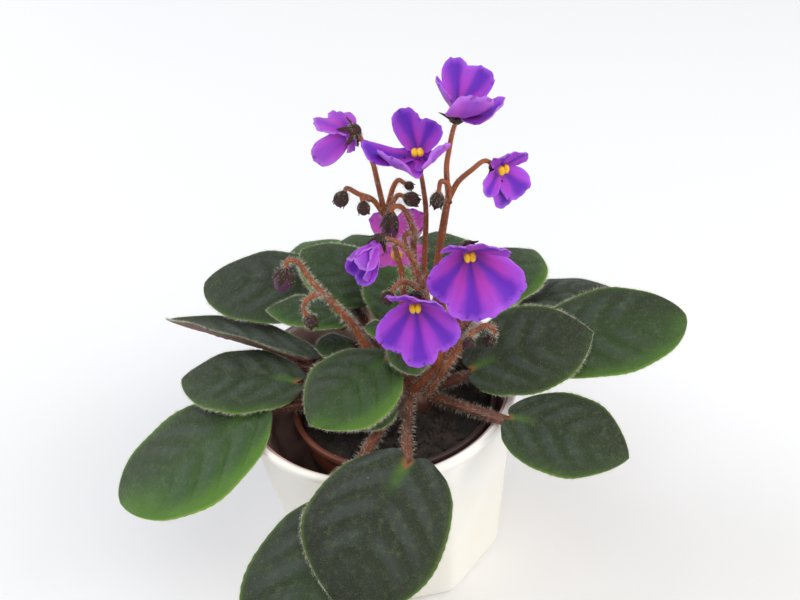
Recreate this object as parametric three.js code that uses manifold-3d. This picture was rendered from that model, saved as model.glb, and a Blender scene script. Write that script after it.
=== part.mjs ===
// A potted African violet: a white eight-sided cover pot with a brown lining, a small
// nursery pot of soil standing in it, and a rosette of heart-shaped leaves with violet blooms.
// Millimetres, +Z up. The origin is the middle of the pot's flat base. The side that shows
// the hanging heart-shaped leaf faces -Y.

import * as THREE from 'three';
import { mergeVertices } from 'three/addons/utils/BufferGeometryUtils.js';
import Module from 'manifold-3d';

const wasm = await Module();
wasm.setup();

// Driving dimensions of the pots and the soil
const GAP = 0.3;
const POT_HEIGHT = 68;
const RIM_RADIUS = 45;
const LIP_WIDTH = 2.4;
const LIP_DEPTH = 3;
const BASE_RADIUS = 36;
const FACETS = 8;
const FIRST_CORNER = -17.4;
const ROUND_TO_FACETS = 14;
const POT_WALL = 1.8;
const FLOOR = 2;
const LINING_WALL = 0.8;
const LINING_BELOW_RIM = 1.2;
const NURSERY_CENTRE = [5, -3];
const NURSERY_TOP = 64.5;
const NURSERY_RADIUS = 32;
const NURSERY_BASE_RADIUS = 23;
const NURSERY_WALL = 1;
const NURSERY_LIP = [1, 2.6];
const SOIL_TOP = 60.5;
const POT_SEGMENTS = 32;
const SIMPLIFY = 0.05;

// Driving dimensions of the plant
const CROWN = [10, 0, 64.5];
const STEM_RADIUS = 5;
const STEM_FOOT = 51;
const CROWN_RADIUS = 10.5;
const CROWN_DOME = 5;
const BLADE_THICKNESS = 1.1;
const MARGIN_THICKNESS = 0.7;
const PETAL_THICKNESS = 0.7;
const PETAL_START = 1.2;
const THROAT_RADIUS = 1.7;
const THROAT_FRONT = 0.3;
const CALYX_LENGTH = 2;
const CALYX_RADIUS = 2.1;
const SEPAL_LENGTH = 2.4;
const SEPAL_WIDTH = 1.6;
const SEPAL_TILT = 20;

const COLOURS = {
  white_plastic: 0xe9e8e4,
  brown_plastic: 0x6b544c,
  terracotta_plastic: 0x8a4a2c,
  peat: 0x1d1a18,
  red_stem: 0x6e3527,
  leaf_green: 0x2f4424,
  petal_violet: 0x8248c4,
  anther_yellow: 0xe8b916,
};

const v3 = (p) => new THREE.Vector3(p[0], p[1], p[2]);
const mix = (a, b, t) => a + (b - a) * t;
const smooth = (t) => t * t * (3 - 2 * t);
const clamp01 = (t) => Math.min(1, Math.max(0, t));

// Closed meshes and solids

function closedGeometry(vertices, faces) {
  const geometry = new THREE.BufferGeometry();
  geometry.setAttribute('position', new THREE.Float32BufferAttribute(vertices, 3));
  geometry.setIndex(faces);
  return withoutSlivers(mergeVertices(geometry, 1e-4));
}

function withoutSlivers(geometry) {
  const index = Array.from(geometry.index.array);
  const kept = [];
  for (let i = 0; i < index.length; i += 3) {
    const [a, b, c] = index.slice(i, i + 3);
    if (a !== b && b !== c && c !== a) kept.push(a, b, c);
  }
  geometry.setIndex(kept);
  return geometry;
}

function solidOf(geometry) {
  let plain = geometry.clone();
  plain.deleteAttribute('normal');
  plain.deleteAttribute('uv');
  plain = withoutSlivers(mergeVertices(plain, 1e-4));
  const mesh = new wasm.Mesh({
    numProp: 3,
    vertProperties: new Float32Array(plain.attributes.position.array),
    triVerts: new Uint32Array(plain.index.array),
  });
  return new wasm.Manifold(mesh);
}

// The largest piece of a solid: what a cut leaves over as a crumb is dropped
function geometryOf(solid) {
  const pieces = solid.asOriginal().simplify(SIMPLIFY).decompose();
  const mesh = pieces.sort((a, b) => b.volume() - a.volume())[0].getMesh();
  const geometry = new THREE.BufferGeometry();
  geometry.setAttribute('position', new THREE.BufferAttribute(mesh.vertProperties, 3));
  geometry.setIndex(new THREE.BufferAttribute(mesh.triVerts, 1));
  return geometry;
}

function union(solids) {
  return solids.reduce((whole, piece) => whole.add(piece));
}

// A round bar of a few sides along a smooth curve through the points
function bar(points, radius, sides = 6, stepsPerSpan = 2) {
  const path = new THREE.CatmullRomCurve3(points.map(v3), false, 'centripetal');
  const section = new THREE.Shape();
  for (let i = 0; i < sides; i += 1) {
    const angle = (2 * Math.PI * i) / sides;
    const corner = [radius * Math.cos(angle), radius * Math.sin(angle)];
    if (i === 0) section.moveTo(...corner);
    else section.lineTo(...corner);
  }
  section.closePath();
  const steps = stepsPerSpan * (points.length - 1);
  return new THREE.ExtrudeGeometry(section, { steps, bevelEnabled: false, extrudePath: path });
}

// A ball stretched along one direction
function pod(centre, direction, halfLength, halfWidth, around = 6, along = 5) {
  const ball = new THREE.SphereGeometry(1, around, along);
  ball.scale(halfWidth, halfLength, halfWidth);
  const turn = new THREE.Quaternion().setFromUnitVectors(v3([0, 1, 0]), v3(direction).normalize());
  ball.applyQuaternion(turn);
  ball.translate(...centre);
  return ball;
}

// A thin closed sheet over a grid: at(u, v) gives a point of its upper face and the
// vector from there to its lower face. Both faces are split into the same triangles.
function sheet(rows, columns, at) {
  const upper = [];
  const lower = [];
  for (let i = 0; i <= rows; i += 1) {
    for (let j = 0; j <= columns; j += 1) {
      const [point, through] = at(i / rows, -1 + (2 * j) / columns, i);
      upper.push(point.x, point.y, point.z);
      lower.push(point.x + through.x, point.y + through.y, point.z + through.z);
    }
  }
  const width = columns + 1;
  const under = (rows + 1) * width;
  const faces = [];
  const quad = (a, b, c, d) => faces.push(a, b, c, a, c, d);
  for (let i = 0; i < rows; i += 1) {
    for (let j = 0; j < columns; j += 1) {
      const a = i * width + j;
      const b = a + 1;
      const c = b + width;
      const d = a + width;
      faces.push(a, b, c, a, c, d);
      faces.push(under + a, under + c, under + b, under + a, under + d, under + c);
    }
  }
  for (let i = 0; i < rows; i += 1) {
    const left = i * width;
    const right = left + columns;
    quad(left, left + width, under + left + width, under + left);
    quad(right + width, right, under + right, under + right + width);
  }
  for (let j = 0; j < columns; j += 1) {
    const base = j;
    const tip = rows * width + j;
    quad(base + 1, base, under + base, under + base + 1);
    quad(tip, tip + 1, under + tip + 1, under + tip);
  }
  return closedGeometry([...upper, ...lower], faces);
}

// Rings of a turned or many-sided shell, joined in order and closed on itself. Each ring
// is [height, radius at an angle]. Rising and falling walls are split along the same
// diagonal, so that one shell fits into another.
function shell(rings, segments) {
  const vertices = [];
  const faces = [];
  const start = THREE.MathUtils.degToRad(FIRST_CORNER);
  for (const [height, radiusAt] of rings) {
    for (let j = 0; j < segments; j += 1) {
      const angle = start + (2 * Math.PI * j) / segments;
      const radius = radiusAt(angle);
      vertices.push(radius * Math.cos(angle), radius * Math.sin(angle), height);
    }
  }
  const first = vertices.length / 3;
  vertices.push(0, 0, rings[0][0]);
  vertices.push(0, 0, rings[rings.length - 1][0]);
  for (let j = 0; j < segments; j += 1) {
    const next = (j + 1) % segments;
    faces.push(first, next, j);
    const last = (rings.length - 1) * segments;
    faces.push(first + 1, last + j, last + next);
    for (let i = 0; i < rings.length - 1; i += 1) {
      const here = i * segments;
      const there = here + segments;
      const [a, b, c, d] = [here + j, here + next, there + next, there + j];
      if (rings[i + 1][0] < rings[i][0]) faces.push(a, b, d, b, c, d);
      else faces.push(a, b, c, a, c, d);
    }
  }
  return closedGeometry(vertices, faces);
}

// The pots and the soil

// Distance to a regular polygon's side at an angle, from its corner radius
function polygonRadius(angle, cornerRadius) {
  const step = (2 * Math.PI) / FACETS;
  const start = THREE.MathUtils.degToRad(FIRST_CORNER);
  const within = ((((angle - start) % step) + step) % step) - step / 2;
  return (cornerRadius * Math.cos(step / 2)) / Math.cos(within);
}

// The cover pot's outer wall: round at the rim, eight flat sides lower down
function potRadius(height, inset) {
  const fall = 1 - height / POT_HEIGHT;
  const corner = mix(RIM_RADIUS, BASE_RADIUS, fall);
  const faceted = smooth(clamp01((POT_HEIGHT - height) / ROUND_TO_FACETS));
  return (angle) => {
    const round = corner * Math.cos(Math.PI / FACETS / 2);
    return mix(round, polygonRadius(angle, corner), faceted) - inset;
  };
}

function circle(radius) {
  return () => radius;
}

function potGeometry() {
  const inner = POT_WALL;
  return shell([
    [0, potRadius(0, 1.2)],
    [1.2, potRadius(1.2, 0)],
    [POT_HEIGHT - ROUND_TO_FACETS, potRadius(POT_HEIGHT - ROUND_TO_FACETS, 0)],
    [POT_HEIGHT - ROUND_TO_FACETS / 2, potRadius(POT_HEIGHT - ROUND_TO_FACETS / 2, 0)],
    [POT_HEIGHT - LIP_DEPTH, potRadius(POT_HEIGHT - LIP_DEPTH, 0)],
    [POT_HEIGHT - LIP_DEPTH, circle(RIM_RADIUS - 0.3)],
    [POT_HEIGHT - 0.6, circle(RIM_RADIUS)],
    [POT_HEIGHT, circle(RIM_RADIUS - 0.6)],
    [POT_HEIGHT, circle(RIM_RADIUS - LIP_WIDTH + 0.4)],
    [POT_HEIGHT - 0.5, circle(RIM_RADIUS - LIP_WIDTH)],
    [POT_HEIGHT - ROUND_TO_FACETS / 2, potRadius(POT_HEIGHT - ROUND_TO_FACETS / 2, inner)],
    [POT_HEIGHT - ROUND_TO_FACETS, potRadius(POT_HEIGHT - ROUND_TO_FACETS, inner)],
    [FLOOR, potRadius(FLOOR, inner)],
  ], POT_SEGMENTS);
}

function liningGeometry() {
  const top = POT_HEIGHT - LINING_BELOW_RIM;
  const bend = POT_HEIGHT - ROUND_TO_FACETS;
  const halfBend = POT_HEIGHT - ROUND_TO_FACETS / 2;
  const outer = POT_WALL + GAP;
  const inner = outer + LINING_WALL;
  const foot = FLOOR + GAP;
  const topRadius = RIM_RADIUS - LIP_WIDTH - GAP;
  return shell([
    [foot, potRadius(foot, outer)],
    [bend, potRadius(bend, outer)],
    [halfBend, potRadius(halfBend, outer)],
    [top, circle(topRadius)],
    [top, circle(topRadius - LINING_WALL)],
    [halfBend, potRadius(halfBend, inner)],
    [bend, potRadius(bend, inner)],
    [foot + LINING_WALL, potRadius(foot + LINING_WALL, inner)],
  ], POT_SEGMENTS);
}

function nurseryRadius(height) {
  const foot = nurseryFoot();
  return mix(NURSERY_BASE_RADIUS, NURSERY_RADIUS, (height - foot) / (NURSERY_TOP - foot));
}

function nurseryFoot() {
  return FLOOR + GAP + LINING_WALL + GAP;
}

function nurseryGeometry() {
  const foot = nurseryFoot();
  const [lipOut, lipDepth] = NURSERY_LIP;
  const lipFoot = NURSERY_TOP - lipDepth;
  const pot = shell([
    [foot, circle(NURSERY_BASE_RADIUS - 0.8)],
    [foot + 0.8, circle(nurseryRadius(foot + 0.8))],
    [lipFoot, circle(nurseryRadius(lipFoot))],
    [lipFoot, circle(nurseryRadius(lipFoot) + lipOut)],
    [NURSERY_TOP, circle(NURSERY_RADIUS + lipOut)],
    [NURSERY_TOP, circle(NURSERY_RADIUS - NURSERY_WALL)],
    [foot + NURSERY_WALL, circle(NURSERY_BASE_RADIUS - NURSERY_WALL)],
  ], POT_SEGMENTS);
  pot.translate(...NURSERY_CENTRE, 0);
  return pot;
}

// Height of the soil's lumpy top, by crossed waves
function soilHeight(x, y) {
  const lumps = Math.sin(0.55 * x + 1.3) * Math.cos(0.47 * y - 0.4) + 0.6 * Math.sin(0.9 * y + 0.3 * x);
  return SOIL_TOP + 0.7 * lumps;
}

function soilGeometry() {
  const foot = nurseryFoot() + NURSERY_WALL + GAP;
  const inset = NURSERY_WALL + GAP;
  const edge = nurseryRadius(SOIL_TOP) - inset;
  const rings = [
    [foot, circle(NURSERY_BASE_RADIUS - inset)],
    [SOIL_TOP, circle(edge)],
    [SOIL_TOP, circle(edge * 0.82)],
    [SOIL_TOP, circle(edge * 0.62)],
    [SOIL_TOP, circle(edge * 0.42)],
  ];
  const soil = shell(rings, 24);
  const place = soil.attributes.position;
  for (let i = 0; i < place.count; i += 1) {
    const radius = Math.hypot(place.getX(i), place.getY(i));
    if (place.getZ(i) > foot + 1 && radius < edge - 1) {
      place.setZ(i, soilHeight(place.getX(i), place.getY(i)));
    }
  }
  soil.translate(...NURSERY_CENTRE, 0);
  const hole = new THREE.CylinderGeometry(STEM_RADIUS + GAP, STEM_RADIUS + GAP, 40, 12);
  hole.rotateX(Math.PI / 2);
  hole.translate(CROWN[0], CROWN[1], STEM_FOOT - GAP + 20);
  return geometryOf(solidOf(soil).subtract(solidOf(hole)));
}

// The leaves. base is where the leaf stalk meets the blade and tip is the point, both
// [x, y, z]. width is across the widest place. roll tips the blade about its midrib, arch
// raises the midrib's middle and cup lets the two margins fall below it. via are places
// that the leaf stalk runs through on its way from the crown.
const LEAVES = [
  { name: 'leaf_front_left_low', base: [-13, -48.5, 62.5], tip: [-38, -89, 36], width: 44, roll: -6,
    arch: 2, cup: 4, lobe: 0, butt: true,
    via: [[-1, -21, 66], [-7, -38, 70.5], [-10, -44, 71.4], [-12, -47.2, 66.5]] },
  { name: 'leaf_front_heart', base: [7, -46.6, 75.7], tip: [-14, -77.6, 48.7], width: 43, roll: -8, arch: 4,
    cup: 2, lean: 0.05, shoulder: 0.66, via: [[8, -24, 69.5]] },
  { name: 'leaf_left_low', base: [-38, -11, 73], tip: [-82, -31, 58], width: 40, roll: -5, arch: 2, cup: 2,
    point: 0.55, lean: -0.05 },
  { name: 'leaf_left_middle', base: [-25, -5, 76.4], tip: [-62, 4, 75.5], width: 28, roll: -5, arch: 3,
    cup: 3, point: 0.65 },
  { name: 'leaf_left_edge_on', base: [-22, 9, 74.5], tip: [-69, 38, 74.5], width: 29, roll: 32, arch: 1,
    cup: -3 },
  { name: 'leaf_back_left', base: [-13, 39, 77], tip: [-57, 55, 76], width: 35, roll: -8, arch: 3, cup: 2,
    point: 0.6 },
  { name: 'leaf_back_veined', base: [1, 33.5, 78], tip: [-21, 50.8, 88], width: 27, arch: 3, cup: 2 },
  { name: 'leaf_back', base: [3, 42, 75], tip: [-4, 74, 76], width: 28, arch: 3, cup: 2 },
  { name: 'leaf_back_left_low', base: [-8, 46, 73.8], tip: [-23, 83, 69], width: 28, arch: 3, cup: 1 },
  { name: 'leaf_inner_left', base: [-7, 16, 83], tip: [-33, 20, 87], width: 17, arch: 2, cup: 1 },
  { name: 'leaf_inner_back', base: [8, 19, 78], tip: [7, 37, 90], width: 18, arch: 2, cup: 1, small: true },
  { name: 'leaf_young_left', base: [6, 13, 79], tip: [-2, 13, 80], width: 9, arch: 1, cup: 1, small: true },
  { name: 'leaf_inner_front', base: [4, -3, 79.5], tip: [-21.5, -21.6, 72.7], width: 30, roll: -12,
    arch: 3, cup: 3 },
  { name: 'leaf_tucked_left', base: [-6.6, 11.2, 75], tip: [-18.6, 10.2, 77], width: 14, arch: 1, cup: 1,
    small: true },
  { name: 'leaf_under_bloom', base: [10, 5, 83], tip: [13, -13, 80], width: 14, arch: 1, cup: 1,
    small: true },
  { name: 'leaf_low_front', base: [3, -12.8, 70.4], tip: [-8, -22.8, 69.6], width: 14, arch: 1, cup: 1,
    small: true },
  { name: 'leaf_right', base: [30, -9.6, 77.2], tip: [69, -3.6, 81.2], width: 32, roll: 18, arch: 3, cup: 1,
    lobe: 0.05 },
  { name: 'leaf_far_right', base: [52, -3.6, 77], tip: [100, 2.4, 79], width: 35, roll: 12, arch: 3, cup: 2,
    lobe: 0.05, point: 0.6 },
  { name: 'leaf_back_right_low', base: [44, 17, 75], tip: [80, 24, 77], width: 30, roll: -10, arch: 3,
    cup: 2 },
  { name: 'leaf_back_right', base: [34, 19, 80], tip: [58, 46, 80], width: 30, arch: 3, cup: 1 },
  { name: 'leaf_back_middle', base: [24, 36, 78], tip: [26, 64, 80], width: 26, arch: 2, cup: 1 },
  { name: 'leaf_right_low', base: [39, -30, 74], tip: [71, -49, 70], width: 29, roll: 14, arch: 3, cup: 2,
    lobe: 0.04 },
];
const LEAF_SHAPE = { roll: 0, lobe: 0.07, shoulder: 0.6, widest: 0.42, point: 0.8, lean: 0 };
const MARGIN_SCALLOP = 0.02;
const LEAF_GRID = { large: [8, 6], small: [5, 4] };

// Three directions of a blade: along its midrib, to its right, and out of its upper face
function bladeAxes(base, tip, roll) {
  const along = tip.clone().sub(base);
  const length = along.length();
  along.normalize();
  const level = new THREE.Vector3().crossVectors(along, v3([0, 0, 1])).normalize();
  const side = level.applyAxisAngle(along, THREE.MathUtils.degToRad(roll));
  const out = new THREE.Vector3().crossVectors(side, along);
  return { along, side, out, length };
}

// Share of the half width at a place along the midrib: broad at the base, blunt at the tip
function bladeShare(u, shape) {
  if (u < shape.widest) {
    return mix(shape.shoulder, 1, Math.sin((Math.PI / 2) * (u / shape.widest)) ** 0.9);
  }
  const t = (u - shape.widest) / (1 - shape.widest);
  return Math.max(0, 1 - t ** 2.1) ** shape.point;
}

function leafGeometry(entry) {
  const leaf = { ...LEAF_SHAPE, ...entry };
  const base = v3(leaf.base);
  const { along, side, out, length } = bladeAxes(base, v3(leaf.tip), leaf.roll);
  const [rows, columns] = leaf.small ? LEAF_GRID.small : LEAF_GRID.large;
  return sheet(rows, columns, (u, v, row) => {
    const share = bladeShare(u, leaf);
    const scallop = row % 2 === 0 ? 1 : 1 + MARGIN_SCALLOP;
    const across = v * share * (leaf.width / 2) * scallop + leaf.lean * leaf.width * Math.sin(Math.PI * u);
    const notch = leaf.lobe * (1 - u) ** 3 * Math.sin(Math.PI * Math.abs(v) ** 0.8);
    const sweep = 0.08 * v * v * Math.sin(Math.PI * u) * (1 - u);
    const height = leaf.arch * 4 * u * (1 - u) - leaf.cup * v * v * share;
    const point = base.clone();
    point.addScaledVector(along, length * (u - notch + sweep));
    point.addScaledVector(side, across);
    point.addScaledVector(out, height);
    const thickness = mix(MARGIN_THICKNESS, BLADE_THICKNESS, (1 - v * v) * (1 - u ** 6));
    return [point, out.clone().multiplyScalar(-thickness)];
  });
}

// The crown: a short stem in the soil with every leaf stalk fused to it. A stalk ends
// just under its blade, or butts against it.
const STALK_RADIUS = { large: 1.8, small: 1.1 };
const STALK_REACH = { large: 2.5, small: 1.5 };
const STALK_RISE = 0.35;

function leafStalk(entry) {
  const leaf = { ...LEAF_SHAPE, ...entry };
  const size = leaf.small ? 'small' : 'large';
  const radius = STALK_RADIUS[size];
  const base = v3(leaf.base);
  const { along, out } = bladeAxes(base, v3(leaf.tip), leaf.roll);
  const end = base.clone().addScaledVector(along, leaf.butt ? -GAP : STALK_REACH[size]);
  if (!leaf.butt) end.addScaledVector(out, -radius - BLADE_THICKNESS - GAP);
  const root = v3(CROWN);
  const spread = new THREE.Vector3(end.x - root.x, end.y - root.y, 0).normalize();
  root.addScaledVector(spread, 2);
  const run = end.distanceTo(root);
  const lead = end.clone().addScaledVector(along, -STALK_REACH[size] - 1.5);
  let points = [root, lead, end].map((p) => p.toArray());
  if (leaf.via) {
    points = [root.toArray(), ...leaf.via, end.toArray()];
  } else if (run > 15) {
    const early = root.clone().addScaledVector(spread, run * STALK_RISE);
    early.z = mix(root.z, lead.z, STALK_RISE * 0.8);
    points.splice(1, 0, early.toArray());
  }
  return bar(points, radius, 5, 2);
}

function crownSolid() {
  const stem = new THREE.CylinderGeometry(STEM_RADIUS, STEM_RADIUS, CROWN[2] - STEM_FOOT, 12);
  stem.rotateX(Math.PI / 2);
  stem.translate(CROWN[0], CROWN[1], (CROWN[2] + STEM_FOOT) / 2);
  const heart = pod(CROWN, [0, 0, 1], CROWN_DOME, CROWN_RADIUS, 12, 6);
  const soilCap = SOIL_TOP + 1.2;
  const solids = [solidOf(heart).trimByPlane([0, 0, 1], soilCap), solidOf(stem)];
  for (const leaf of LEAVES) solids.push(solidOf(leafStalk(leaf)));
  return union(solids);
}

// The flower stalks. Each has a main stem and finer flower stalks off it, as points that
// they run through. A bud hangs at the end of the stalk that names it.
const STEM = 1.5;
const FINE = 0.95;
const FLOWER_STALKS = [
  { name: 'flower_stalk_tall',
    stem: [[15, 1, 67], [23, 2, 78], [23, 3, 95], [23, 3, 109], [26, 2, 125], [28, 2, 134]],
    branches: [
      { to: 'top', path: [[28, 2, 132], [28, 1.2, 143.4], [29.2, 1.5, 149.6], [30.8, 2, 155.6]] },
      { to: 'right', path: [[28, 2, 133], [31, 1, 139], [35, 0, 143], [39, 1, 145]] },
      { bud: [1.9, 2.8], path: [[28, 2, 133], [28, 0, 139], [26, -1, 141], [25, -1, 137]] },
    ] },
  { name: 'flower_stalk_middle', stem: [[13, 5, 67], [20, 7, 78], [19, 7, 92], [19, 7, 108]], slim: true,
    branches: [{ to: 'middle', path: [[19, 7, 106], [21, 5, 126], [21, 3, 136]] }] },
  { name: 'flower_stalk_arched',
    stem: [[8.5, 7.5, 66], [15, 12, 78], [17, 12, 90], [16, 9.5, 106], [17, 7, 120]],
    branches: [
      { bud: [2.6, 5.3], path: [[17, 7, 119], [16, 5, 125.4], [14.4, 3.8, 130.4], [12.4, 3, 131.9],
        [11, 2.6, 131], [10.7, 2.5, 129.4]] },
      { bud: [0.9, 1.4], path: [[17, 7, 120], [14, 6, 119], [14, 6, 116]] },
    ] },
  { name: 'flower_stalk_left', slim: true,
    stem: [[4.5, 4.5, 67], [9, 9, 82], [12, 9, 98], [11, 8, 112], [9, 7, 127]],
    branches: [
      { to: 'left', path: [[9, 7, 126], [8, 6, 138], [7, 4, 148]] },
      { to: 'behind', path: [[12, 9, 96], [12, 15, 100], [12, 19, 105]] },
      { bud: [2, 2.5], path: [[9, 7, 126], [6, 6, 133], [2, 4, 137], [-1, 3, 140], [-2, 2, 139]] },
      { bud: [1.7, 2.2], path: [[5, 5, 134], [3, 4, 136], [3, 3, 134.5]] },
      { bud: [1.1, 1.6], path: [[9, 7, 126], [12, 9, 134], [14, 9, 137], [16, 8, 136]] },
      { bud: [2, 2.7], path: [[9, 7, 126], [12, 6, 132], [13.6, 4, 135], [15.4, 4, 134]] },
    ] },
  { name: 'flower_stalk_front', stem: [[11, -5, 67], [20.5, -7, 80], [19.5, -6, 96], [17, -6, 108]],
    branches: [
      { to: 'opening', path: [[17, -6, 107], [16.4, -6.5, 115.5], [13.8, -7, 122.9], [11.2, -6.8, 126.2]] },
      { to: 'front', path: [[17, -6, 107], [19, -7, 112]] },
      { bud: [1.7, 2.2], path: [[17, -6, 107], [13, -8, 112], [10, -10, 113], [8, -11, 111]] },
    ] },
  { name: 'flower_stalk_right', stem: [[16, -3, 66.5], [25, -3, 82], [29, -2, 98], [31, 0, 110]], slim: true,
    branches: [{ to: 'large', path: [[31, 0, 108], [32, -1, 116], [32, -4, 121]] }] },
  { name: 'flower_stalk_bud_left', stem: [[4, 1, 67], [-2, 7, 76], [-5, 8, 85], [-9, 4, 96], [-13, 0, 107]],
    branches: [
      { bud: [2.9, 4.6],
        path: [[-13, 0, 106], [-16, -2, 114], [-18, -3, 120], [-21, -4, 122], [-22, -4, 119]] },
      { bud: [2, 2.6], path: [[-13, 0, 106], [-17, -2, 106], [-19, -3, 103], [-18, -3, 100]] },
    ] },
  { name: 'flower_stalk_young_right', slim: true,
    stem: [[15, -7, 66], [23, -9, 80], [29, -9, 89], [32, -9, 92]],
    branches: [
      { bud: [1.7, 2.4], path: [[31, -9, 91], [35, -10, 94], [38, -10, 92], [37, -10, 90]] },
      { bud: [1.5, 2], path: [[31, -9, 91], [31, -11, 93], [30, -13, 92]] },
    ] },
];

// The blooms. facing is [azimuth, elevation] in degrees of the way the throat looks, tube is
// the length of the tube behind it, which nod turns up, and anthers is how far they sit above
// the throat's middle. A fan of joined lobes is [angle from straight up, tilt forward, bend
// forward over its length, cup across, lobes], and each of its lobes is [angle from the fan's
// middle, length, width]. Angles grow to the bloom's left.
const BLOOMS = [
  { name: 'top', throat: [32.2, 2, 161.6], facing: [-40, 68], tube: 1.6, nod: -22, anthers: -0.4, fans: [
    [-65, 36, 8, 1.5, [[18, 14.8, 8], [-18, 14.6, 9]]], [58, 48, 14, 2, [[0, 14.8, 8]]],
    [-162, 2, 72, 2, [[0, 15, 10]]], [143, 14, 92, 2, [[0, 15.5, 13]]]] },
  { name: 'middle', throat: [20.2, -1, 151], facing: [-95, 72], tube: 1.6, nod: 0, anthers: -1.1, fans: [
    [-4, 38, 8, 1, [[20, 13.6, 8], [-26, 10.4, 8]]], [98, -3, 58, 2, [[0, 18, 8]]],
    [139, -16, 112, 1, [[0, 15, 14]]], [-134, -14, 116, 1, [[0, 11.8, 12]]]] },
  { name: 'left', throat: [2, 4, 157.2], facing: [150, -35], tube: 1.2, nod: 0, anthers: false, fans: [
    [12, 34, 0, -1, [[29, 10.2, 8], [-29, 11, 8]]], [-88, 45, 0, -1, [[0, 12.8, 7.6]]],
    [180, 35, 0, -1, [[0, 5.4, 7]]], [110, 40, 0, -1, [[0, 7, 7]]]] },
  { name: 'right', throat: [43.4, 2, 141.2], facing: [-60, 0], tube: 1.2, nod: 0, anthers: 0.4, fans: [
    [-22, 36, 0, 0, [[25, 7.6, 7], [-25, 9.2, 8]]], [134, 10, 0, 0, [[0, 9, 6.5]]],
    [-146, 8, 0, 0, [[0, 13, 9.5]]], [187, 0, 0, 0, [[0, 14, 8]]]] },
  { name: 'large', throat: [31.7, -12, 123], facing: [-88, 22], tube: 1.6, nod: 35, anthers: -1.1, fans: [
    [-10, 68, 0, 1.2, [[32, 11, 10], [-37, 14, 11]]],
    [183, 6, -6, -0.6, [[-38, 16.5, 14], [0, 20.5, 18], [34, 20.5, 14.5]]]] },
  { name: 'front', throat: [14.7, -15, 109.3], facing: [-95, 22], tube: 1.6, nod: 40, anthers: -1.1, fans: [
    [-16, 68, 0, 1.2, [[38, 11, 9], [-30, 12, 10]]],
    [181, 6, -6, -0.6, [[-38, 16.5, 11], [0, 19.5, 11.5], [35, 17, 11.5]]]] },
  { name: 'behind', throat: [11.2, 15, 108.2], facing: [-95, 15], tube: 1.6, nod: 0, anthers: -1.1, fans: [
    [-3, 8, 0, 0, [[23, 14.5, 8], [-27, 15.5, 9]]],
    [180, 8, 0, 0, [[-70, 8.5, 7], [0, 5.5, 6], [70, 9, 8]]]] },
  { name: 'opening', throat: [5.3, -6.4, 125.3], facing: [-140, -30], tube: 1.6, nod: 0, anthers: false,
    fans: [
      [40, 65, 0, 0, [[0, 9.5, 7]]], [-42, 66, 0, 0, [[0, 9.5, 7]]], [110, 71, 0, 0, [[0, 11.5, 7]]],
      [-112, 72, 0, 0, [[0, 11, 7]]], [178, 68, 0, 0, [[0, 12.5, 8]]]] },
];
const FAN_ROWS = 4;
const LOBE_COLUMNS = 5;
const LOBE_FOOT = 0.1;
const SLIGHT_BEND = 0.1;

function bloomAxes(facing) {
  const azimuth = THREE.MathUtils.degToRad(facing[0]);
  const elevation = THREE.MathUtils.degToRad(facing[1]);
  const front = v3([
    Math.cos(azimuth) * Math.cos(elevation),
    Math.sin(azimuth) * Math.cos(elevation),
    Math.sin(elevation),
  ]);
  const up = v3([
    -Math.cos(azimuth) * Math.sin(elevation),
    -Math.sin(azimuth) * Math.sin(elevation),
    Math.cos(elevation),
  ]);
  const right = new THREE.Vector3().crossVectors(up, front);
  return { front, up, right };
}

// The axes of a bloom's tube and calyx, which nod turns up behind the throat
function tubeAxes(bloom) {
  const axes = bloomAxes(bloom.facing);
  const nod = THREE.MathUtils.degToRad(bloom.nod);
  axes.front.applyAxisAngle(axes.right, nod);
  axes.up.applyAxisAngle(axes.right, nod);
  return axes;
}

// Directions of a thing that leaves a bloom's axis at an angle from up, tilted forward
function rayAxes({ front, up, right }, angle, tilt) {
  const a = THREE.MathUtils.degToRad(angle);
  const t = THREE.MathUtils.degToRad(tilt);
  const spread = up.clone().multiplyScalar(Math.cos(a)).addScaledVector(right, -Math.sin(a));
  const along = spread.clone().multiplyScalar(Math.cos(t)).addScaledVector(front, Math.sin(t));
  const out = spread.clone().multiplyScalar(-Math.sin(t)).addScaledVector(front, Math.cos(t));
  const side = new THREE.Vector3().crossVectors(along, out);
  return { along, out, side };
}

// A place on a lobe's margin, u of the way from the throat: a narrow claw, widest past the
// middle, a round end. Its angle off the lobe's axis only falls as u grows.
function lobeMargin(u, length, width) {
  const half = (width / 2) * (0.2 * (1 - u) ** 2 + Math.max(0, Math.sin(Math.PI * u ** 1.4)) ** 0.85);
  const reach = (length * (1 - Math.cos(Math.PI * u))) / 2;
  return { angle: Math.atan2(half, reach), far: Math.hypot(half, reach) };
}

// How far a lobe reaches from the throat at an angle off its axis, found by halving
function lobeReach(off, length, width) {
  if (off > lobeMargin(LOBE_FOOT, length, width).angle) return 0;
  let [low, high] = [LOBE_FOOT, 1];
  for (let i = 0; i < 20; i += 1) {
    const u = (low + high) / 2;
    if (lobeMargin(u, length, width).angle > off) low = u;
    else high = u;
  }
  return lobeMargin(low, length, width).far;
}

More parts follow.
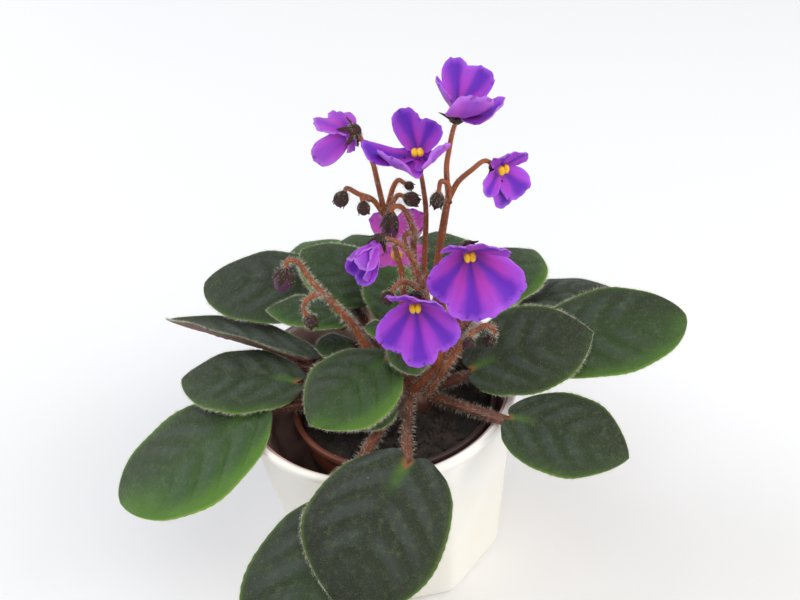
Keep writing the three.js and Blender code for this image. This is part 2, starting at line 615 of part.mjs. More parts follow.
function fanGeometry(throat, axes, [angle, tilt, bend, cup, lobes]) {
  const { along, out, side } = rayAxes(axes, angle, tilt);
  const turns = lobes.map(([turn]) => THREE.MathUtils.degToRad(turn));
  const halves = lobes.map(([, length, width]) => lobeMargin(LOBE_FOOT, length, width).angle);
  const low = Math.min(...turns.map((turn, i) => turn - halves[i]));
  const high = Math.max(...turns.map((turn, i) => turn + halves[i]));
  const longest = Math.max(...lobes.map(([, length]) => length));
  const radius = longest / THREE.MathUtils.degToRad(bend || SLIGHT_BEND);
  return sheet(FAN_ROWS, 2 + LOBE_COLUMNS * lobes.length, (u, v) => {
    const turn = (low + high) / 2 - ((0.65 * v + 0.35 * v ** 3) * (high - low)) / 2;
    const reaches = lobes.map(([, length, width], i) => {
      return lobeReach(Math.max(0, Math.abs(turn - turns[i]) - 1e-6), length, width);
    });
    const reach = Math.max(...reaches);
    const far = mix(Math.min(PETAL_START, reach / 2), reach, u);
    const [x, y] = [-far * Math.sin(turn), far * Math.cos(turn)];
    const over = y / radius;
    const point = throat.clone().addScaledVector(side, x);
    point.addScaledVector(along, radius * Math.sin(over));
    point.addScaledVector(out, radius * (1 - Math.cos(over)) + cup * (x / 10) ** 2);
    const inner = out.clone().multiplyScalar(Math.cos(over)).addScaledVector(along, -Math.sin(over));
    return [point, inner.multiplyScalar(-PETAL_THICKNESS)];
  });
}

function antherSolid(bloom, grow) {
  const axes = bloomAxes(bloom.facing);
  const lobes = [-1, 1].map((hand) => {
    const centre = v3(bloom.throat);
    centre.addScaledVector(axes.front, 1.9).addScaledVector(axes.up, bloom.anthers);
    centre.addScaledVector(axes.right, hand * 0.75);
    return solidOf(pod(centre.toArray(), axes.up.toArray(), 1.5 + grow, 1 + grow, 6, 4));
  });
  return union(lobes);
}

function bloomSolid(bloom) {
  const throat = v3(bloom.throat);
  const axes = bloomAxes(bloom.facing);
  const { front: ahead } = tubeAxes(bloom);
  const back = throat.clone().addScaledVector(ahead, -bloom.tube);
  const front = throat.clone().addScaledVector(ahead, THROAT_FRONT);
  const tube = bar([back.toArray(), front.toArray()], THROAT_RADIUS, 6, 1);
  const solids = bloom.fans.map((fan) => solidOf(fanGeometry(throat, axes, fan)));
  const whole = union([...solids, solidOf(tube)]);
  if (!bloom.anthers) return whole;
  return whole.subtract(antherSolid(bloom, GAP));
}

// A calyx: a small cup behind the throat with five narrow pointed sepals
function calyxSolids(bloom) {
  const axes = tubeAxes(bloom);
  const seat = v3(bloom.throat).addScaledVector(axes.front, -bloom.tube - GAP);
  const foot = seat.clone().addScaledVector(axes.front, -CALYX_LENGTH);
  const cup = bar([foot.toArray(), seat.toArray()], CALYX_RADIUS, 6, 1);
  const sepals = [36, 108, 180, 252, 324].map((angle) => {
    const { along } = rayAxes(axes, angle, SEPAL_TILT);
    const start = seat.clone().addScaledVector(axes.front, -1);
    const spike = new THREE.ConeGeometry(SEPAL_WIDTH / 2, SEPAL_LENGTH, 4);
    spike.translate(0, SEPAL_LENGTH / 2 + 0.5, 0);
    spike.applyQuaternion(new THREE.Quaternion().setFromUnitVectors(v3([0, 1, 0]), along));
    spike.translate(start.x, start.y, start.z);
    return spike;
  });
  return [solidOf(cup), ...sepals.map(solidOf)];
}

function calyxFoot(bloom) {
  const { front } = tubeAxes(bloom);
  return v3(bloom.throat).addScaledVector(front, -bloom.tube - GAP - CALYX_LENGTH + 0.6);
}

// A hanging bud with the tips of its sepals
function budSolids([halfWidth, halfLength], path) {
  const end = v3(path[path.length - 1]);
  const before = v3(path[path.length - 2]);
  const heading = end.clone().sub(before).normalize();
  const centre = end.clone().addScaledVector(heading, halfLength * 0.75);
  return [solidOf(pod(centre.toArray(), heading.toArray(), halfLength, halfWidth))];
}

function flowerStalkSolid(stalk) {
  const mainRadius = stalk.slim ? 1.15 : STEM;
  const solids = [solidOf(bar(stalk.stem, mainRadius, 6, 1))];
  for (const branch of stalk.branches) {
    const path = [...branch.path];
    if (branch.to) {
      const bloom = BLOOMS.find((entry) => entry.name === branch.to);
      path.push(calyxFoot(bloom).toArray());
      solids.push(...calyxSolids(bloom));
    } else {
      solids.push(...budSolids(branch.bud, path));
    }
    solids.push(solidOf(bar(path, FINE, 5, 1)));
  }
  return union(solids);
}

// Room in the crown for the foot of a flower stalk
function socketSolid(stalk) {
  const mainRadius = stalk.slim ? 1.15 : STEM;
  const lead = stalk.stem.slice(0, 3);
  const [foot, next] = [v3(lead[0]), v3(lead[1])];
  const below = foot.clone().addScaledVector(foot.clone().sub(next).normalize(), GAP);
  return solidOf(bar([below.toArray(), ...lead.slice(1)], mainRadius + GAP + 0.1, 6, 1));
}

// The assembly

const group = new THREE.Group();

function addNode(name, geometry, colour, roughness) {
  geometry.deleteAttribute('uv');
  geometry.computeVertexNormals();
  const material = new THREE.MeshStandardMaterial({ color: COLOURS[colour], roughness, metalness: 0 });
  const mesh = new THREE.Mesh(geometry, material);
  mesh.name = name;
  group.add(mesh);
}

addNode('pot', potGeometry(), 'white_plastic', 0.45);
addNode('pot_lining', liningGeometry(), 'brown_plastic', 0.5);
addNode('nursery_pot', nurseryGeometry(), 'terracotta_plastic', 0.5);
addNode('soil', soilGeometry(), 'peat', 1);
const sockets = union(FLOWER_STALKS.map(socketSolid));
addNode('crown', geometryOf(crownSolid().subtract(sockets)), 'red_stem', 0.8);
for (const leaf of LEAVES) addNode(leaf.name, leafGeometry(leaf), 'leaf_green', 0.8);
for (const stalk of FLOWER_STALKS) addNode(stalk.name, geometryOf(flowerStalkSolid(stalk)), 'red_stem', 0.8);
for (const bloom of BLOOMS) {
  addNode(`bloom_${bloom.name}`, geometryOf(bloomSolid(bloom)), 'petal_violet', 0.6);
  if (!bloom.anthers) continue;
  addNode(`anthers_${bloom.name}`, geometryOf(antherSolid(bloom, 0)), 'anther_yellow', 0.5);
}

export default group;
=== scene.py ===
"""Looks of a potted African violet: a white eight-sided cover pot with a brown lining, a
nursery pot of peat, hairy leaves on thick stalks, and violet blooms with yellow anthers.

Every surface is worked out on a grid of two parameters with numpy. Lengths in the tables
and functions are millimetres in the frame of the CAD model, and become metres when a mesh
is made.
"""

import math

import bmesh
import bpy
import numpy as np
from mathutils import Matrix


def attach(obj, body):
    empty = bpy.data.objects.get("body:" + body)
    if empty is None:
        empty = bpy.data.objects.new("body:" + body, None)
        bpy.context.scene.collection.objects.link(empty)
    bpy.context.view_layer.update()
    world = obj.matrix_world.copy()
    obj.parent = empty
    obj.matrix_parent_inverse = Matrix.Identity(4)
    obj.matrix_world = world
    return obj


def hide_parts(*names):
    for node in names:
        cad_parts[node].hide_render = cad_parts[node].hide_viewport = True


bl_info = {
    "name": "Potted African violet",
    "version": (1, 0, 0),
    "blender": (4, 5, 0),
    "location": "View3D > Sidebar > Violet",
    "description": "Makes the pots, leaves, stalks and blooms of a potted African violet",
    "category": "Add Mesh",
}

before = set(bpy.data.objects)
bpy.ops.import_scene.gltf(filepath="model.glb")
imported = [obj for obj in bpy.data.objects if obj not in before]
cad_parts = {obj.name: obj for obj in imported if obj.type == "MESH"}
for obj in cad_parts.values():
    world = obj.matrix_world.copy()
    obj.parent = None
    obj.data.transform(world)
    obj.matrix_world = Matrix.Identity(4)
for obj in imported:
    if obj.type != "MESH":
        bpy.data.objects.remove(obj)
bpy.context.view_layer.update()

MM = 0.001
GAP = 0.3
WELD = 0.004

# The pots and the peat, in millimetres
POT_HEIGHT = 68.0
FACETS = 8
FIRST_CORNER = math.radians(-17.4)
CORNER_SHARPNESS = 46
ROUND_TO_FACETS = 14.0
POT_WALL = 1.8
POT_FLOOR = 2.0
LINING_WALL = 0.8
NURSERY_CENTRE = (5.0, -3.0)
NURSERY_TOP = 64.5
NURSERY_RADIUS = 32.0
NURSERY_BASE_RADIUS = 23.0
NURSERY_FOOT = POT_FLOOR + GAP + LINING_WALL + GAP
SOIL_TOP = 60.5
SOIL_RADIUS = 30.1
CRUMBS = 900
CROWN = (10.0, 0.0, 64.5)

# Radii of the hairs, in millimetres
FACE_HAIR = 0.016
FRINGE_HAIR = 0.022
BUD_HAIR = 0.026
LEAF_STALK_HAIR = 0.028
CALYX_HAIR = 0.03
TUFT_HAIR = 0.036
FLOWER_STALK_HAIR = 0.038

# The leaves: where the stalk meets the blade, the tip, the width, and the shape. roll tips
# the blade about its midrib, arch raises the midrib, cup lets the margins fall, and glow is
# how green the light makes its margin. butt and via are for a stalk that meets the blade
# end to end, or takes its own way.
LEAVES = {
    "leaf_front_left_low": dict(
        base=(-13, -48.5, 62.5), tip=(-38, -89, 36), width=44, roll=-6, arch=2, cup=4, lobe=0.0,
        butt=True, via=((-1, -21, 66), (-7, -38, 70.5), (-10, -44, 71.4), (-12, -47.2, 66.5)),
        glow=0.35),
    "leaf_front_heart": dict(
        base=(7, -46.6, 75.7), tip=(-14, -77.6, 48.7), width=43, roll=-8, arch=4, cup=2, lean=0.05,
        shoulder=0.66, via=((8, -24, 69.5),), glow=0.1),
    "leaf_left_low": dict(
        base=(-38, -11, 73), tip=(-82, -31, 58), width=40, roll=-5, arch=2, cup=2, point=0.55,
        lean=-0.05, glow=0.85),
    "leaf_left_middle": dict(
        base=(-25, -5, 76.4), tip=(-62, 4, 75.5), width=28, roll=-5, arch=3, cup=3, point=0.65,
        glow=0.3),
    "leaf_left_edge_on": dict(
        base=(-22, 9, 74.5), tip=(-69, 38, 74.5), width=29, roll=32, arch=1, cup=-3, point=0.6,
        glow=0.2),
    "leaf_back_left": dict(
        base=(-13, 39, 77), tip=(-57, 55, 76), width=35, roll=-8, arch=3, cup=2, point=0.6,
        glow=0.2),
    "leaf_back_veined": dict(
        base=(1, 33.5, 78), tip=(-21, 50.8, 88), width=27, arch=3, cup=2, glow=0.5),
    "leaf_back": dict(base=(3, 42, 75), tip=(-4, 74, 76), width=28, arch=3, cup=2, glow=0.6),
    "leaf_back_left_low": dict(
        base=(-8, 46, 73.8), tip=(-23, 83, 69), width=28, arch=3, cup=1, glow=0.9),
    "leaf_inner_left": dict(
        base=(-7, 16, 83), tip=(-33, 20, 87), width=17, arch=2, cup=1, glow=0.7),
    "leaf_inner_back": dict(
        base=(8, 19, 78), tip=(7, 37, 90), width=18, arch=2, cup=1, small=True, glow=0.8),
    "leaf_young_left": dict(
        base=(6, 13, 79), tip=(-2, 13, 80), width=9, arch=1, cup=1, small=True, glow=0.9),
    "leaf_inner_front": dict(
        base=(4, -3, 79.5), tip=(-21.5, -21.6, 72.7), width=30, roll=-12, arch=3, cup=3,
        glow=0.75),
    "leaf_tucked_left": dict(
        base=(-6.6, 11.2, 75), tip=(-18.6, 10.2, 77), width=14, arch=1, cup=1, small=True,
        glow=0.4),
    "leaf_under_bloom": dict(
        base=(10, 5, 83), tip=(13, -13, 80), width=14, arch=1, cup=1, small=True, glow=0.9),
    "leaf_low_front": dict(
        base=(3, -12.8, 70.4), tip=(-8, -22.8, 69.6), width=14, arch=1, cup=1, small=True,
        glow=0.3),
    "leaf_right": dict(
        base=(30, -9.6, 77.2), tip=(69, -3.6, 81.2), width=32, roll=18, arch=3, cup=1, lobe=0.05,
        glow=0.2),
    "leaf_far_right": dict(
        base=(52, -3.6, 77), tip=(100, 2.4, 79), width=35, roll=12, arch=3, cup=2, lobe=0.05,
        point=0.6, glow=0.5),
    "leaf_back_right_low": dict(
        base=(44, 17, 75), tip=(80, 24, 77), width=30, roll=-10, arch=3, cup=2, glow=0.1),
    "leaf_back_right": dict(base=(34, 19, 80), tip=(58, 46, 80), width=30, arch=3, cup=1, glow=0.5),
    "leaf_back_middle": dict(
        base=(24, 36, 78), tip=(26, 64, 80), width=26, arch=2, cup=1, glow=0.5),
    "leaf_right_low": dict(
        base=(39, -30, 74), tip=(71, -49, 70), width=29, roll=14, arch=3, cup=2, lobe=0.04,
        glow=0.3),
}
LEAF_SHAPE = dict(roll=0, lobe=0.07, shoulder=0.6, point=0.8, lean=0.0, small=False, butt=False,
                  via=(), glow=0.5)
WIDEST = 0.42
BLADE = 1.1
SIDE_VEINS = 5
VEIN_BEND = 0.32
VEIN_POWER = 1.2
TOWARDS_FRONT_LIGHT = (0.45, -0.9, 0)

# The flower stalks: a main stem, and finer stalks that end at a bloom or in a bud. A bud is
# (half width, half length). wool is the share of hairs, and dark is how young a bud looks.
FLOWER_STALKS = {
    "flower_stalk_tall": dict(
        stem=((15, 1, 67), (23, 2, 78), (23, 3, 95), (23, 3, 109), (26, 2, 125), (28, 2, 134)),
        radius=1.5, wool=0.25, branches=(
            dict(to="top", path=((28, 2, 132), (28, 1.2, 143.4), (29.2, 1.5, 149.6),
                                 (30.8, 2, 155.6))),
            dict(to="right", path=((28, 2, 133), (31, 1, 139), (35, 0, 143), (39, 1, 145))),
            dict(bud=(1.9, 2.8), path=((28, 2, 133), (28, 0, 139), (26, -1, 141), (25, -1, 137))))),
    "flower_stalk_middle": dict(
        stem=((13, 5, 67), (20, 7, 78), (19, 7, 92), (19, 7, 108)), radius=1.15, wool=0.25,
        branches=(dict(to="middle", path=((19, 7, 106), (21, 5, 126), (21, 3, 136))),)),
    "flower_stalk_arched": dict(
        stem=((8.5, 7.5, 66), (15, 12, 78), (17, 12, 90), (16, 9.5, 106), (17, 7, 120)),
        radius=1.5, wool=1.0, branches=(
            dict(bud=(2.6, 5.3), dark=0.3, path=(
                (17, 7, 119), (16, 5, 125.4), (14.4, 3.8, 130.4), (12.4, 3, 131.9),
                (11, 2.6, 131), (10.7, 2.5, 129.4))),
            dict(bud=(0.9, 1.4), path=((17, 7, 120), (14, 6, 119), (14, 6, 116))))),
    "flower_stalk_left": dict(
        stem=((4.5, 4.5, 67), (9, 9, 82), (12, 9, 98), (11, 8, 112), (9, 7, 127)), radius=1.15,
        wool=0.5, branches=(
            dict(to="left", path=((9, 7, 126), (8, 6, 138), (7, 4, 148))),
            dict(to="behind", path=((12, 9, 96), (12, 15, 100), (12, 19, 105))),
            dict(bud=(2, 2.5), path=(
                (9, 7, 126), (6, 6, 133), (2, 4, 137), (-1, 3, 140), (-2, 2, 139))),
            dict(bud=(1.7, 2.2), path=((5, 5, 134), (3, 4, 136), (3, 3, 134.5))),
            dict(bud=(1.1, 1.6), path=((9, 7, 126), (12, 9, 134), (14, 9, 137), (16, 8, 136))),
            dict(bud=(2, 2.7), path=((9, 7, 126), (12, 6, 132), (13.6, 4, 135), (15.4, 4, 134))))),
    "flower_stalk_front": dict(
        stem=((11, -5, 67), (20.5, -7, 80), (19.5, -6, 96), (17, -6, 108)), radius=1.5, wool=1.0,
        branches=(
            dict(to="opening", path=(
                (17, -6, 107), (16.4, -6.5, 115.5), (13.8, -7, 122.9), (11.2, -6.8, 126.2))),
            dict(to="front", path=((17, -6, 107), (19, -7, 112))),
            dict(bud=(1.7, 2.2), path=((17, -6, 107), (13, -8, 112), (10, -10, 113),
                                       (8, -11, 111))))),
    "flower_stalk_right": dict(
        stem=((16, -3, 66.5), (25, -3, 82), (29, -2, 98), (31, 0, 110)), radius=1.15, wool=0.5,
        branches=(dict(to="large", path=((31, 0, 108), (32, -1, 116), (32, -4, 121))),)),
    "flower_stalk_bud_left": dict(
        stem=((4, 1, 67), (-2, 7, 76), (-5, 8, 85), (-9, 4, 96), (-13, 0, 107)), radius=1.5,
        wool=1.2, branches=(
            dict(bud=(2.9, 4.6), dark=0.3, path=(
                (-13, 0, 106), (-16, -2, 114), (-18, -3, 120), (-21, -4, 122), (-22, -4, 119))),
            dict(bud=(2, 2.6), path=((-13, 0, 106), (-17, -2, 106), (-19, -3, 103),
                                     (-18, -3, 100))))),
    "flower_stalk_young_right": dict(
        stem=((15, -7, 66), (23, -9, 80), (29, -9, 89), (32, -9, 92)), radius=1.15, wool=1.5,
        branches=(
            dict(bud=(1.7, 2.4), path=((31, -9, 91), (35, -10, 94), (38, -10, 92), (37, -10, 90))),
            dict(bud=(1.5, 2), path=((31, -9, 91), (31, -11, 93), (30, -13, 92))))),
}

# The blooms: the throat, the way it looks (azimuth, elevation), the length of its tube, how
# far the tube nods up behind it, how far the anthers sit above its middle, how pink it is,
# and its fans of joined lobes. A fan is (angle from straight up, tilt forward, bend forward
# over its length, cup across, lobes), and each of its lobes is (angle from the fan's
# middle, length, width, and how far its stripe is turned if it is). Angles grow to the
# bloom's left.
BLOOMS = {
    "top": dict(
        throat=(32.2, 2, 161.6), facing=(-40, 68), tube=1.6, nod=-22, anthers=-0.4, blush=0.35,
        fans=((-65, 36, 8, 1.5, ((18, 14.8, 8), (-18, 14.6, 9))),
              (58, 48, 14, 2, ((0, 14.8, 8),)),
              (-162, 2, 72, 2, ((0, 15, 10),)),
              (143, 14, 92, 2, ((0, 15.5, 13),)))),
    "middle": dict(
        throat=(20.2, -1, 151), facing=(-95, 72), tube=1.6, nod=0, anthers=-1.1, blush=0.35,
        fans=((-4, 38, 8, 1, ((20, 13.6, 8), (-26, 10.4, 8))),
              (98, -3, 58, 2, ((0, 18, 8),)),
              (139, -16, 112, 1, ((0, 15, 14),)),
              (-134, -14, 116, 1, ((0, 11.8, 12),)))),
    "left": dict(
        throat=(2, 4, 157.2), facing=(150, -35), tube=1.2, nod=0, anthers=None, blush=0.3,
        fans=((12, 34, 0, -1, ((29, 10.2, 8), (-29, 11, 8))),
              (-88, 45, 0, -1, ((0, 12.8, 7.6),)),
              (180, 35, 0, -1, ((0, 5.4, 7),)),
              (110, 40, 0, -1, ((0, 7, 7),)))),
    "right": dict(
        throat=(43.4, 2, 141.2), facing=(-60, 0), tube=1.2, nod=0, anthers=0.4, blush=0.15,
        fans=((-22, 36, 0, 0, ((25, 7.6, 7), (-25, 9.2, 8))),
              (134, 10, 0, 0, ((0, 9, 6.5),)),
              (-146, 8, 0, 0, ((0, 13, 9.5),)),
              (187, 0, 0, 0, ((0, 14, 8),)))),
    "large": dict(
        throat=(31.7, -12, 123), facing=(-88, 22), tube=1.6, nod=35, anthers=-1.1, blush=0.6,
        fans=((-10, 68, 0, 1.2, ((32, 11, 10), (-37, 14, 11))),
              (183, 6, -6, -0.6, ((-38, 16.5, 14, -9), (0, 20.5, 18, -6), (34, 20.5, 14.5))))),
    "front": dict(
        throat=(14.7, -15, 109.3), facing=(-95, 22), tube=1.6, nod=40, anthers=-1.1, blush=0.15,
        fans=((-16, 68, 0, 1.2, ((38, 11, 9), (-30, 12, 10))),
              (181, 6, -6, -0.6, ((-38, 16.5, 11), (0, 19.5, 11.5), (35, 17, 11.5))))),
    "behind": dict(
        throat=(11.2, 15, 108.2), facing=(-95, 15), tube=1.6, nod=0, anthers=-1.1, blush=1.5,
        fans=((-3, 8, 0, 0, ((23, 14.5, 8), (-27, 15.5, 9))),
              (180, 8, 0, 0, ((-70, 8.5, 7), (0, 5.5, 6), (70, 9, 8))))),
    "opening": dict(
        throat=(5.3, -6.4, 125.3), facing=(-140, -30), tube=1.6, nod=0, anthers=None, blush=0.0,
        fans=((40, 65, 0, 0, ((0, 9.5, 7),)), (-42, 66, 0, 0, ((0, 9.5, 7),)),
              (110, 71, 0, 0, ((0, 11.5, 7),)), (-112, 72, 0, 0, ((0, 11, 7),)),
              (178, 68, 0, 0, ((0, 12.5, 8),)))),
}
THROAT_RADIUS = 1.7
CALYX_RADIUS = 2.3
CALYX_LENGTH = 2.0
STRIPE_TURN = 25.0
SEPAL_ANGLES = (36, 108, 180, 252, 324)
BUD_POINT = 0.8

# The studio, in metres: each light's place, aim, size, power and colour
LIGHTS = {
    "window": ((-0.95, 0.45, 0.8), (0, 0, 0.08), 0.8, 8.0, (0.94, 0.97, 1.0)),
    "warm_side": ((0.95, -0.35, 0.7), (0, 0, 0.05), 0.8, 6.8, (1.0, 0.96, 0.88)),
    "front_fill": ((0.15, -0.75, 1.05), (0, 0, 0.05), 1.0, 5.5, (1.0, 0.99, 0.97)),
}
SKY_COLOUR = (0.93, 0.96, 1.0, 1)
SKY_STRENGTH = 0.55
FLOOR_REACH = 3.0
FLOOR_HEIGHT = -0.0002
CAMERA_AIM = (0.0104, 0, 0.0998)
CAMERA_DISTANCE = 0.398
CAMERA_ELEVATION = math.radians(37.0)
CAMERA_ROLL = math.radians(-6.7)
CAMERA_LENS = 58.5


def tone(red, green, blue):
    """A colour given as seen on a screen, 0 to 255, as the linear values that Blender mixes."""
    seen = np.array([red, green, blue]) / 255
    return tuple(np.where(seen <= 0.04045, seen / 12.92, ((seen + 0.055) / 1.055) ** 2.4).tolist())


def fade(low, high, x):
    """0 below low and 1 above high, with a smooth S between them."""
    t = np.clip((x - low) / (high - low), 0, 1)
    return t * t * (3 - 2 * t)


def unit(vector):
    """A direction, or an array of them, at length 1."""
    vector = np.asarray(vector, float)
    return vector / np.linalg.norm(vector, axis=-1, keepdims=True)


def turned(vector, axis, angle):
    """vector turned about axis by angle: v cos a + (k x v) sin a + k (k.v)(1 - cos a)."""
    return (vector * math.cos(angle) + np.cross(axis, vector) * math.sin(angle)
            + axis * np.dot(axis, vector) * (1 - math.cos(angle)))


def sideways(way):
    """A direction square to way, level unless way is steep."""
    return unit(np.cross(way, [0, 0, 1.0] if abs(way[2]) < 0.9 else [1.0, 0, 0]))


def spokes(angles, cross, other):
    """Directions at angles round an axis: cross cos a + other sin a."""
    return cross * np.cos(angles)[..., None] + other * np.sin(angles)[..., None]


def ring_angles(count):
    """Even steps of angle round a ring."""
    return np.arange(count) * math.tau / count


# Meshes


def strip(points, uv=None, material=0, **marks):
    """A grid of points as one part of a mesh. Each row is a closed ring, and neighbours make
    four-sided faces. Without a uv, u grows over the rows and v round the ring. marks are
    values at each point."""
    rows, columns = points.shape[:2]
    index = np.arange(rows * columns).reshape(rows, columns)
    right = np.roll(index, -1, axis=1)
    faces = np.stack([index[:-1], right[:-1], right[1:], index[1:]], axis=-1).reshape(-1, 4)
    if uv is None:
        uv = np.stack(np.meshgrid(np.linspace(0, 1, rows), np.arange(columns) / columns,
                                  indexing="ij"), -1)
    material = np.broadcast_to(np.asarray(material), (rows - 1, columns)).reshape(-1)
    marks = {name: np.broadcast_to(value, (rows, columns)).reshape(-1)
             for name, value in marks.items()}
    return dict(points=points.reshape(-1, 3), faces=faces, uv=uv.reshape(-1, 2),
                material=material, marks=marks)


def pillow(upper, lower, u, v, out, upper_material, lower_material, **marks):
    """A thin closed sheet: each row goes over the upper side and back under the lower one.
    out is the way that the upper side looks."""
    columns = upper.shape[1] - 1
    middle = columns // 2

    def loop(field):
        field = np.broadcast_to(field, upper.shape[:2])
        return np.concatenate([field, field[:, ::-1][:, 1:-1]], axis=1)

    materials = np.where(np.arange(2 * columns) < columns, upper_material, lower_material)
    part = strip(np.concatenate([upper, lower[:, ::-1][:, 1:-1]], axis=1),
                 np.stack([loop(u), loop(v)], -1), materials[None],
                 **{name: loop(field) for name, field in marks.items()})
    ahead = upper[5, middle] - upper[4, middle]
    across = upper[4, middle + 1] - upper[4, middle]
    if np.dot(np.cross(ahead, across), out) > 0:
        part["faces"] = part["faces"][:, ::-1]
    return part


def sheet_grid(rows, columns):
    """u from 0 to 1 over the rows, and v from -1 to 1 across them, closer at the sides."""
    u = np.linspace(0, 1, rows + 1)[:, None]
    v = np.sin(np.linspace(-1, 1, columns + 1) * math.pi / 2)[None]
    return u * np.ones_like(v), v * np.ones_like(u)


def hairs(roots, ways, length, radius, material, droop, bend, seed):
    """Fine hairs as bent three-sided spikes. Each has a triangle at its root, a smaller one
    halfway, and a tip. A hair leaves along its way, mixed with a random sideways part of
    size bend, and its tip falls by droop of its length."""
    rng = np.random.default_rng(seed)
    count = len(roots)
    aim = unit(ways + bend * rng.normal(size=(count, 3)))
    helper = np.where(np.abs(aim[:, 2:]) < 0.8, [[0, 0, 1.0]], [[1.0, 0, 0]])
    side = unit(np.cross(aim, helper))
    ring = spokes(ring_angles(3), side[:, None], np.cross(aim, side)[:, None])
    long = (length * rng.uniform(0.6, 1.25, count))[:, None]
    fall = np.array([0, 0, -1.0])
    middle = roots + aim * long * 0.55 + fall * long * droop * 0.25
    tip = roots + aim * long + fall * long * droop
    start = (roots - 0.1 * aim)[:, None] + ring * radius
    half = middle[:, None] + ring * radius * 0.65
    points = np.concatenate([start, half, tip[:, None]], axis=1)
    low = np.arange(3)
    following = np.roll(low, -1)
    sides = np.concatenate([
        np.stack([low, following, following + 3], 1), np.stack([low, following + 3, low + 3], 1),
        np.stack([low + 3, following + 3, np.full(3, 6)], 1), [[2, 1, 0]]])
    faces = (np.arange(count)[:, None, None] * 7 + sides[None]).reshape(-1, 3)
    return dict(points=points.reshape(-1, 3), faces=faces, uv=np.zeros((count * 7, 2)),
                material=np.full(len(faces), material), marks={})


def fill(items, field, values, kind=np.float32):
    """Sets one field of many mesh items at once."""
    items.foreach_set(field, np.asarray(values, kind).reshape(-1))


def build(name, parts, materials, nodes):
    """Joins the parts into one mesh object in metres, welds what coincides, hangs it from the root
    body, and hides the model's parts that it stands for."""
    starts = np.cumsum([0] + [len(part["points"]) for part in parts])
    faces = [part["faces"] + start for part, start in zip(parts, starts)]
    points = np.concatenate([part["points"] for part in parts]) * MM
    corners = np.concatenate([face.reshape(-1) for face in faces])
    sizes = np.concatenate([np.full(len(face), face.shape[1]) for face in faces])
    mesh = bpy.data.meshes.new(name)
    mesh.vertices.add(len(points))
    fill(mesh.vertices, "co", points)
    mesh.loops.add(len(corners))
    fill(mesh.loops, "vertex_index", corners, np.int32)
    mesh.polygons.add(len(sizes))
    fill(mesh.polygons, "loop_start", np.concatenate([[0], np.cumsum(sizes)[:-1]]), np.int32)
    fill(mesh.polygons, "material_index", np.concatenate([part["material"] for part in parts]),
         np.int32)
    fill(mesh.polygons, "use_smooth", np.ones(len(sizes)), bool)
    mesh.update(calc_edges=True)
    layer = mesh.uv_layers.new(name="surface")
    fill(layer.data, "uv",
         np.concatenate([part["uv"][part["faces"].reshape(-1)] for part in parts]))
    for mark in sorted({mark for part in parts for mark in part["marks"]}):
        values = [part["marks"].get(mark, np.zeros(len(part["points"]))) for part in parts]
        fill(mesh.attributes.new(mark, "FLOAT", "POINT").data, "value", np.concatenate(values))
    work = bmesh.new()
    work.from_mesh(mesh)
    bmesh.ops.remove_doubles(work, verts=work.verts, dist=WELD * MM)
    bmesh.ops.dissolve_degenerate(work, edges=work.edges, dist=WELD * MM * 0.5)
    work.to_mesh(mesh)
    work.free()
    for material in materials:
        mesh.materials.append(material)
    piece = bpy.data.objects.new(name, mesh)
    bpy.context.collection.objects.link(piece)
    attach(piece, "root")
    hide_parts(*nodes)


# Tubes and turned walls


def smooth_path(points, steps):
    """A curve through the points, each span a cubic whose slopes are half the step between
    its neighbours, sampled at equal parameter."""
    points = np.asarray(points, float)
    padded = np.vstack([2 * points[0] - points[1], points, 2 * points[-1] - points[-2]])
    place = np.linspace(0, len(points) - 1, steps)
    span = np.minimum(place.astype(int), len(points) - 2)
    t = (place - span)[:, None]
    a, b, c, d = (padded[span + k] for k in range(4))
    return 0.5 * (2 * b + (c - a) * t + (2 * a - 5 * b + 4 * c - d) * t ** 2
                  + (3 * b - a - 3 * c + d) * t ** 3)


def carried_frames(path):
    """The direction of the path at each point with two cross directions that turn with it
    as little as they can."""
    along = unit(np.gradient(path, axis=0))
    cross = [sideways(along[0])]
    for way in along[1:]:
        cross.append(unit(cross[-1] - way * np.dot(cross[-1], way)))
    cross = np.array(cross)
    return along, cross, np.cross(along, cross)


def tube(path, radii, sides, ridge=0.0, material=0, **marks):
    """A round bar carried along a path: centre + radius (cos a, sin a). ridge makes shallow
    lengthwise ridges. Both ends close on the path in a low dome."""
    along, cross, other = carried_frames(path)
    radii = np.broadcast_to(radii, len(path)).astype(float)
    angles = ring_angles(sides)
    swell = 1 + ridge * np.cos(3 * angles + 0.6)
    ring = spokes(angles, cross[:, None], other[:, None])
    points = path[:, None] + ring * (radii[:, None] * swell[None])[..., None]
    turns = np.array([0.35, 0.75, 1.0]) * math.pi / 2
    caps = []
    for end, sign in ((0, -1), (-1, 1)):
        bulge = 0.6 * radii[end] * np.sin(turns)[:, None]
        caps.append((path[end] + sign * along[end] * bulge)[:, None]
                    + ring[end] * (radii[end] * swell)[:, None] * np.cos(turns)[:, None, None])
    return strip(np.concatenate([caps[0][::-1], points, caps[1]]), material=material, **marks)


def tube_hairs(path, radii, per_mm, length, radius, material, seed, droop=0.15):
    """Hairs all round a bar, at random places along it and turns about it."""
    rng = np.random.default_rng(seed)
    along, cross, other = carried_frames(path)
    steps = np.linalg.norm(np.diff(path, axis=0), axis=1)
    distance = np.concatenate([[0], np.cumsum(steps)])
    count = max(4, int(distance[-1] * per_mm))
    place = rng.uniform(0, distance[-1], count)
    turn = rng.uniform(0, math.tau, count)
    centre, cross, other, along = (
        np.stack([np.interp(place, distance, field[:, k]) for k in range(3)], 1)
        for field in (path, cross, other, along))
    thick = np.interp(place, distance, np.broadcast_to(radii, len(path)))[:, None]
    out = unit(spokes(turn, cross, other))
    return hairs(centre + out * thick * 0.97, out + 0.15 * along, length, radius, material,
                 droop, 0.3, seed)


